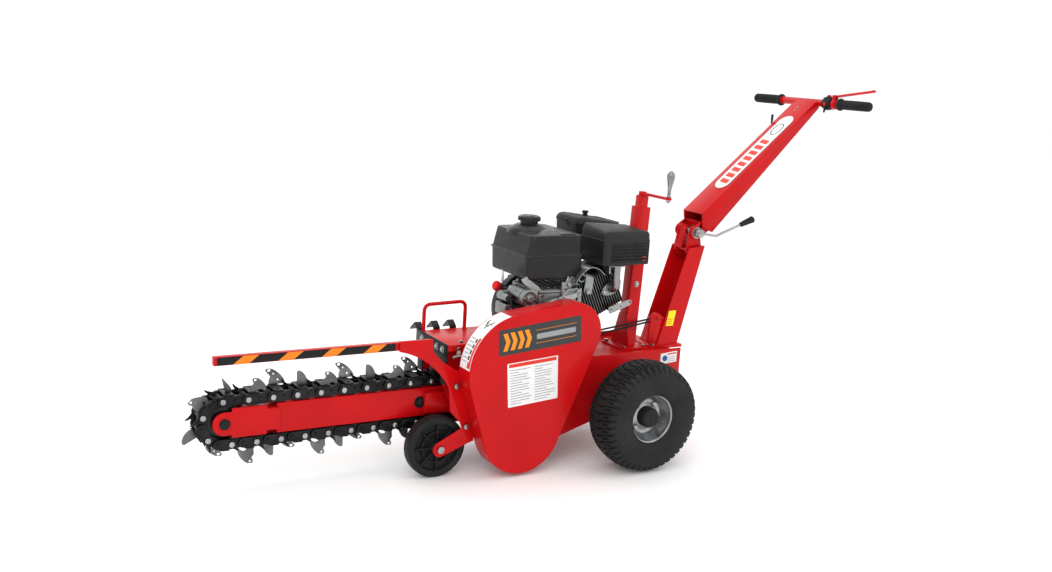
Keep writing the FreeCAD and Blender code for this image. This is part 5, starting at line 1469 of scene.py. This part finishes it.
def make_crankcase():
    """The cast case with its sump feet, parting flange, ribs and bolts."""
    x_low, x_high, _, _, z_low, z_high = extent("crankcase")
    front, rear, half = x_low + 22, x_high - 22, 95.0
    x = (x_low + x_high) / 2
    bm = bmesh.new()
    loft(bm, soft_levels(z_low, z_low + 14.2, x, 0, x_high - x, half - 8, 10, 2), MACHINE, 5)
    loft(bm, soft_levels(z_low + 12, z_high, x, 0, rear - x, half, 22, 12), MACHINE, 6)
    crank = Vector((CRANK.x, 0, CRANK.z))
    lathe(bm, [(86, 96), (94, 96), (96, 95), (100, 93), (112, 92), (116, 89), (117, 84), (117, 60),
               (121, 56), (123, 46), (123.4, 34), (123.4, 23), (86, 23)], crank, (0, -1, 0), 72,
          closed=True)
    lathe(bm, [(88, 100), (94.5, 100), (95, 99), (95, 90), (88, 90)], crank, (0, 1, 0), 72, closed=True)
    for rib in range(int(front) + 22, int(rear) - 8, 26):
        block(bm, (rib, -half + 14, z_high - 4), (rib + 5, half - 14, z_high + 5), 2)
    for post in (front + 10, rear - 10):
        block(bm, (post - 9, -half - 6, z_low + 60), (post + 9, -half + 6, z_high - 16), 4)
    block(bm, (front + 6, -half - 3, 586), (rear - 4, -half + 12, 596), 3)
    piece_from("crankcase_casting", bm, "frame", "engine_cast", replaces=["crankcase"])
    bolt_circle, cover_face, washer = 88, 114, 3.6
    bm = bmesh.new()
    for angle in turns(10, math.pi / 10):
        lathe(bm, [(0, 9), (3.4, 9), (4, 8)], crank + about_y(bolt_circle, angle, -cover_face) * MM,
              (0, -1, 0), 20)
        hex_head(bm, crank + about_y(bolt_circle, angle, -cover_face - washer) * MM, (0, -1, 0), 6.4, 5,
                 washer=False)
    for bolt_x in (front + 16, rear - 16):
        for bolt_y in (-60, 10, 66):
            hex_head(bm, at(bolt_x, bolt_y, z_high), (0, 0, 1), 6.4, 6)
    piece_from("crankcase_bolts", bm, "frame", "bright_steel")


def make_top_linkage():
    """Brackets, the cooling shroud, rods and a spring between the case, the tank and the intake."""
    sheet = 3
    bm = bmesh.new()
    for points, across, half, bend in (
            ([(-404, 20, 652), (-406, 8, 634), (-420, -10, 616)], (0.3, 1, 0), 13, 8),
            ([(-371, -74, 640), (-366, -78, 628), (-330, -86, 602), (-310, -92, 574)],
             (1, 0, 0.45), 13, 8),
            ([(-168, -70, 640), (-170, -82, 634), (-204, -88, 612), (-232, -92, 584)],
             (1, 0, -0.5), 17, 9),
            ([(-262, -98, 560), (-180, -98, 572), (-152, -94, 590)], (0, 0.2, 1), 9, 6)):
        strap(bm, points, across, half, sheet, bend)
    piece_from("tank_straps", bm, "frame", "bright_steel")
    bm = bmesh.new()
    strap(bm, [(-188, -46, 618), (-164, -46, 652), (-131, -46, 674), (-98, -46, 668), (-68, -46, 642)],
          (0, 1, 0), 66, sheet, 26)
    strap(bm, [(-112, -79, 640), (-114, -84, 632), (-117, -86, 604), (-121, -86, 576)],
          (1, 0, -0.3), 17, sheet, 5)
    lathe(bm, [(0, 15), (3, 15), (3, 11), (0, 11)], at(-144, -79, 630), (0, -1, 0), 32, closed=True)
    piece_from("cooling_shroud", bm, "frame", "engine_cast")
    bm = bmesh.new()
    plate = plane_frame(at(-26, -97, 512), (0.957, 0, 0.29), (-0.29, 0, 0.957))
    outline = soft_outline([(-6, -12), (40, -12), (88, -10), (98, 0), (88, 10), (46, 11), (-6, 14)], 7)
    holes = [ring_points(4, 2, 4), ring_points(87, 0, 4.6), ring_points(46, -2, 2.6)]
    add_mesh(bm, cut_sheet(outline, sheet, holes, 0.6), plate)
    for x in (4, 46):
        lathe(bm, [(0, 5), (18, 5)], plate @ Vector((x * MM, 0, -sheet * MM)), (0, 1, 0), 16)
    piece_from("cable_bracket", bm, "frame", "bright_steel")
    bm = bmesh.new()
    for points, radius, bend, segments in (
            ([(-238, -104, 568), (-214, -104, 596), (-176, -104, 600)], 2.6, 10, 10),
            ([(-232, -98, 580), (-232, -98, 624)], 5.4, 0, 14),
            ([(-214, -88, 604), (-206, -88, 640)], 3.4, 0, 10),
            ([(-330, -60, 606), (-338, -52, 632)], 6.0, 0, 14),
            ([(-200, 20, 606), (-150, 60, 628), (-122, 96, 634)], 2.2, 20, 10)):
        tube(bm, points, radius, bend, segments)
    piece_from("governor_rods", bm, "frame", "bright_steel")
    coil, wire, rise, turn = 4.2, 0.9, 0.62, 0.9
    bm = bmesh.new()
    tube(bm, [(-196 + rise * index, -92 + coil * math.cos(index * turn),
               612 + coil * math.sin(index * turn)) for index in range(56)], wire, segments=6)
    piece_from("governor_spring", bm, "frame", "bright_steel", smooth=60)
    bm = bmesh.new()
    for x, y, z, across, height in ((-314, -94, 580, 7, 6), (-121, -89, 582, 7, 6),
                                    (-228, -94, 590, 7, 6), (-204, -91, 612, 7, 6),
                                    (-170, -97, 590, 5, 5), (-182, -97, 556, 5, 5)):
        hex_head(bm, at(x, y, z), (0, -1, 0), across, height)
    piece_from("strap_bolts", bm, "frame", "bright_steel")


def make_starter():
    """The starter motor's can with its end cap, through bolts, solenoid and relay beside it."""
    x_low, x_high, _, y_high, z_low, z_high = extent("starter_motor")
    x, z = (x_low + x_high) / 2, (z_low + z_high) / 2
    radius = (z_high - z_low) / 2
    bm = bmesh.new()
    lathe(bm, [(0, radius - 5), (2, radius - 1), (4, radius), (16, radius), (17, radius - 2),
               (19, radius - 2), (20, radius - 0.6), (84, radius - 0.6), (85, radius - 3),
               (88, radius - 3), (89, radius - 0.2), (101, radius - 0.2), (104, radius - 1.4),
               (105.6, radius - 4), (106, radius - 8), (105, radius - 10), (105, 17), (107, 15),
               (112, 13.6), (113.6, 11.6), (114, 8), (113, 1)], at(x, y_high, z), (0, -1, 0))
    block(bm, (x - 4, -70, z - radius - 7), (x + 38, -20, z - radius + 10), 4)
    block(bm, (x - 20, -14, z - radius - 12), (x + 24, 12, z + radius - 6), 5)
    piece_from("starter_can", bm, "frame", "engine_cast", replaces=["starter_motor"])
    bm = bmesh.new()
    for side in (-1, 1):
        hex_head(bm, at(x + side * 21, -104.6, z - side * 4), (0, -1, 0), 4.6, 4)
    tube(bm, [(x + 44, -62, z + 6), (x + 44, -92, z + 6)], 3.6, segments=12)
    piece_from("starter_bolts", bm, "frame", "bright_steel")
    bm = bmesh.new()
    tube(bm, [(x - 14, -20, z - 44), (x - 14, -84, z - 44)], 15.5, segments=32)
    block(bm, (x - 30, -62, z - 84), (x + 2, -22, z - 56), 5)
    tube(bm, [(x - 14, -84, z - 44), (x - 14, -96, z - 46), (x + 6, -98, z - 60)], 4.2, 6, 12)
    tube(bm, [(x + 30, -78, z - 40), (x + 58, -96, z - 34)], 7.5)
    piece_from("starter_solenoid", bm, "frame", "engine_black", MATERIALS["black_plastic"])
    bm = bmesh.new()
    tube(bm, [(x - 50, 14, z - 6), (x - 50, -50, z - 6)], 13, segments=32)
    block(bm, (x - 58, -16, z - 20), (x - 20, 8, z + 12), 4)
    block(bm, (x - 62, -44, z - 68), (x - 14, 24, z - 26), 7)
    tube(bm, [(x - 34, -44, z - 46), (x - 34, -58, z - 46)], 9, segments=24)
    piece_from("starter_relay", bm, "frame", "engine_cast")
    bm = bmesh.new()
    tube(bm, [(x - 50, -50, z - 6), (x - 50, -62, z - 6)], 10, segments=24)
    tube(bm, [(x - 52, -60, z - 2), (x - 56, -74, z - 14), (x - 44, -78, z - 50)], 3.4, 8, 10)
    piece_from("relay_cable", bm, "frame", "black_plastic")


def make_recoil_housing():
    """The fan housing and recoil starter on the far side, with radial ribs, painted shade for its radial slots and
    a pull handle.
    """
    x_low, x_high, y_low, y_high, z_low, z_high = extent("fan_housing")
    x, z = (x_low + x_high) / 2, (z_low + z_high) / 2
    radius = (z_high - z_low) / 2
    depth = y_high - y_low
    start = at(x, y_low, z)
    bm = bmesh.new()
    lathe(bm, [(0, radius - 2), (0, radius), (6, radius), (8, radius - 2.4), (40, radius - 2.4),
               (47, radius - 6), (56, radius - 14), (58, radius - 20), (61, 98), (74, 92), (88, 86),
               (93, 80), (95, 70), (95, 44), (98, 40), (depth, 34), (depth, 1)], start, (0, 1, 0), 96)
    for angle in turns(8):
        place = Matrix.Translation(start) @ Matrix.Rotation(-angle, 4, "Y")
        block(bm, (92, 50, -7), (radius - 15, 64, 7), 3, place)
    block(bm, (x - 22, y_low + 60, z_high - 54), (x + 22, y_low + 78, z_high - 22), 6)
    piece_from("recoil_housing", bm, "frame", "engine_black", replaces=["fan_housing"])
    # Painted shade: near-black film blocks on the housing's face stand for the dark of its radial slots.
    bm = bmesh.new()
    for inner, count, length, face in ((48, 12, 20, 95.3), (70, 18, 9, 94.0)):
        for angle in turns(count):
            place = Matrix.Translation(start) @ Matrix.Rotation(-angle, 4, "Y")
            block(bm, (inner, face - 3, -3.2), (inner + length, face + 0.2, 3.2), 0.8, place)
    piece_from("recoil_slot_shade", bm, "frame", "engine_black", FILM["black"])
    bm = bmesh.new()
    block(bm, (x - 34, y_low + 74, z_high - 34), (x + 34, y_low + 90, z_high - 20), 6)
    piece_from("pull_handle", bm, "frame", "black_plastic")
    bm = bmesh.new()
    for angle in turns(6, math.pi / 6):
        hex_head(bm, start + about_y(84, angle, 88.4) * MM, (0, 1, 0), 5.5, 5)
    piece_from("recoil_bolts", bm, "frame", "bright_steel")


def make_carburettor():
    """The carburettor's body, float bowl, throttle shaft and intake elbow."""
    x_low, x_high, y_low, _, z_low, z_high = extent("carburettor")
    x, bowl_y = (x_low + x_high) / 2, 140
    bm = bmesh.new()
    lathe(bm, [(0, 20), (1, 22), (9, 22), (10, 17), (26, 17), (27, 24), (60, 24), (61, 19), (78, 19),
               (79.8, 17)], at(x, y_low, 640), (0, 1, 0), 40)
    lathe(bm, [(0, 1), (0, 8), (3, 12), (5, 22), (8, 25), (30, 25.6), (31, 27), (35, 27), (36, 22)],
          at(x, bowl_y, z_low), (0, 0, 1), 40)
    loft(bm, [(630, x + 2, bowl_y, 24, 26, 10), (664, x + 2, bowl_y, 22, 24, 12),
              (z_high, x + 4, bowl_y, 20, 24, 12)], MACHINE, 5)
    block(bm, (x - 30, y_low - 6, 618), (x + 30, y_low + 3, 662), 3)
    tube(bm, [(x - 26, 122, 652), (x + 28, 122, 652)], 3.4, segments=12)
    piece_from("carburettor_casting", bm, "frame", "engine_cast", replaces=["carburettor"])


def make_filler_plug():
    """The red knob by the case's front corner, on its short silver neck."""
    origin, along = at(-366, 84, 576), Vector((-0.95, -0.12, 0.26))
    bm = bmesh.new()
    fluted(bm, [(14, 9, 0), (15, 14, 0), (17, 17, 1.4), (27, 17.5, 1.4), (31, 15.5, 0.6),
                (33.6, 11, 0), (34.4, 5, 0), (34.4, 1, 0)], axis_frame(origin, along))
    piece_from("oil_filler_knob", bm, "frame", "red_plastic")
    bm = bmesh.new()
    lathe(bm, [(-22, 10), (-2, 10), (0, 13), (8, 13), (9, 9), (14.4, 8.6)], origin, along, 28)
    piece_from("oil_filler_neck", bm, "frame", "engine_cast")


def make_engine():
    """The engine with its tank, exhaust, air cleaner, starters and linkage."""
    make_crankcase()
    make_cylinder()
    make_tank()
    make_fuel_cap()
    make_muffler()
    make_exhaust_pipe()
    make_air_cleaner()
    make_carburettor()
    make_starter()
    make_recoil_housing()
    make_top_linkage()
    make_filler_plug()


# ---------------------------------------------------------------- floor, light and camera

def make_stage():
    """A plain white floor."""
    half_width = 40
    bm = bmesh.new()
    bmesh.ops.create_grid(bm, x_segments=1, y_segments=1, size=half_width)
    mesh = bpy.data.meshes.new("floor")
    bm.to_mesh(mesh)
    bm.free()
    mesh.materials.append(new_material("floor_white", (0.97, 0.97, 0.97), 0.0, 0.6, specular=0.2))
    floor = bpy.data.objects.new("floor", mesh)
    COLLECTION.objects.link(floor)


def make_lights():
    """A white world and four soft lamps: name, place, target, power and width."""
    world = bpy.data.worlds.new("studio")
    bpy.context.scene.world = world
    world.use_nodes = True
    background = world.node_tree.nodes["Background"]
    background.inputs["Color"].default_value = (1, 1, 1, 1)
    background.inputs["Strength"].default_value = 1.05
    for name, location, target, power, width in (
            ("key", (-2.6, -3.2, 3.4), (0.0, 0.0, 0.4), 50, 2.6),
            ("fill", (2.8, -2.6, 2.4), (0.2, 0.0, 0.5), 15, 2.4),
            ("top", (0.2, 0.4, 4.0), (0.0, 0.0, 0.3), 30, 3.0),
            ("back", (0.6, 3.4, 2.6), (0.0, 0.0, 0.5), 20, 3.0)):
        lamp = bpy.data.lights.new(name, "AREA")
        lamp.energy = power
        lamp.size = width
        light = bpy.data.objects.new(name, lamp)
        COLLECTION.objects.link(light)
        light.location = location
        aim = (Vector(target) - Vector(location)).to_track_quat("-Z", "Y")
        light.rotation_euler = aim.to_euler()


def make_camera():
    """The camera stands off the machine's near front corner, a little above the engine."""
    sensor_width, focal_length = 36, 37.81
    place = (-1.9714, -3.180, 1.339)
    back = Vector((-0.5076, -0.8389, 0.1965)).normalized()
    up = Vector((0.0482, 0.2000, 0.9787))
    lens = bpy.data.cameras.new("camera")
    lens.sensor_width = sensor_width
    lens.lens = focal_length
    camera = bpy.data.objects.new("camera", lens)
    COLLECTION.objects.link(camera)
    right = up.cross(back).normalized()
    matrix = Matrix((right, back.cross(right), back)).transposed().to_4x4()
    matrix.translation = place
    camera.matrix_world = matrix
    bpy.context.scene.camera = camera


# ---------------------------------------------------------------- the whole machine

make_stage()
make_lights()
make_camera()
bpy.context.scene.view_settings.view_transform = "Standard"
make_steel()
smooth_copy("control_rods")
make_welds()
make_lid_handle()
make_small_bolts()
make_rear_wheels()
make_front_wheel()
make_chain()
make_boom_details()
make_hazard_film()
make_cover_films()
make_small_films()
make_arm_film()
make_handle_grips()
make_switch_block()
make_stop_button()
make_drive_lever()
make_clamp_grip()
make_crank_grip()
make_arm_details()
make_engine()
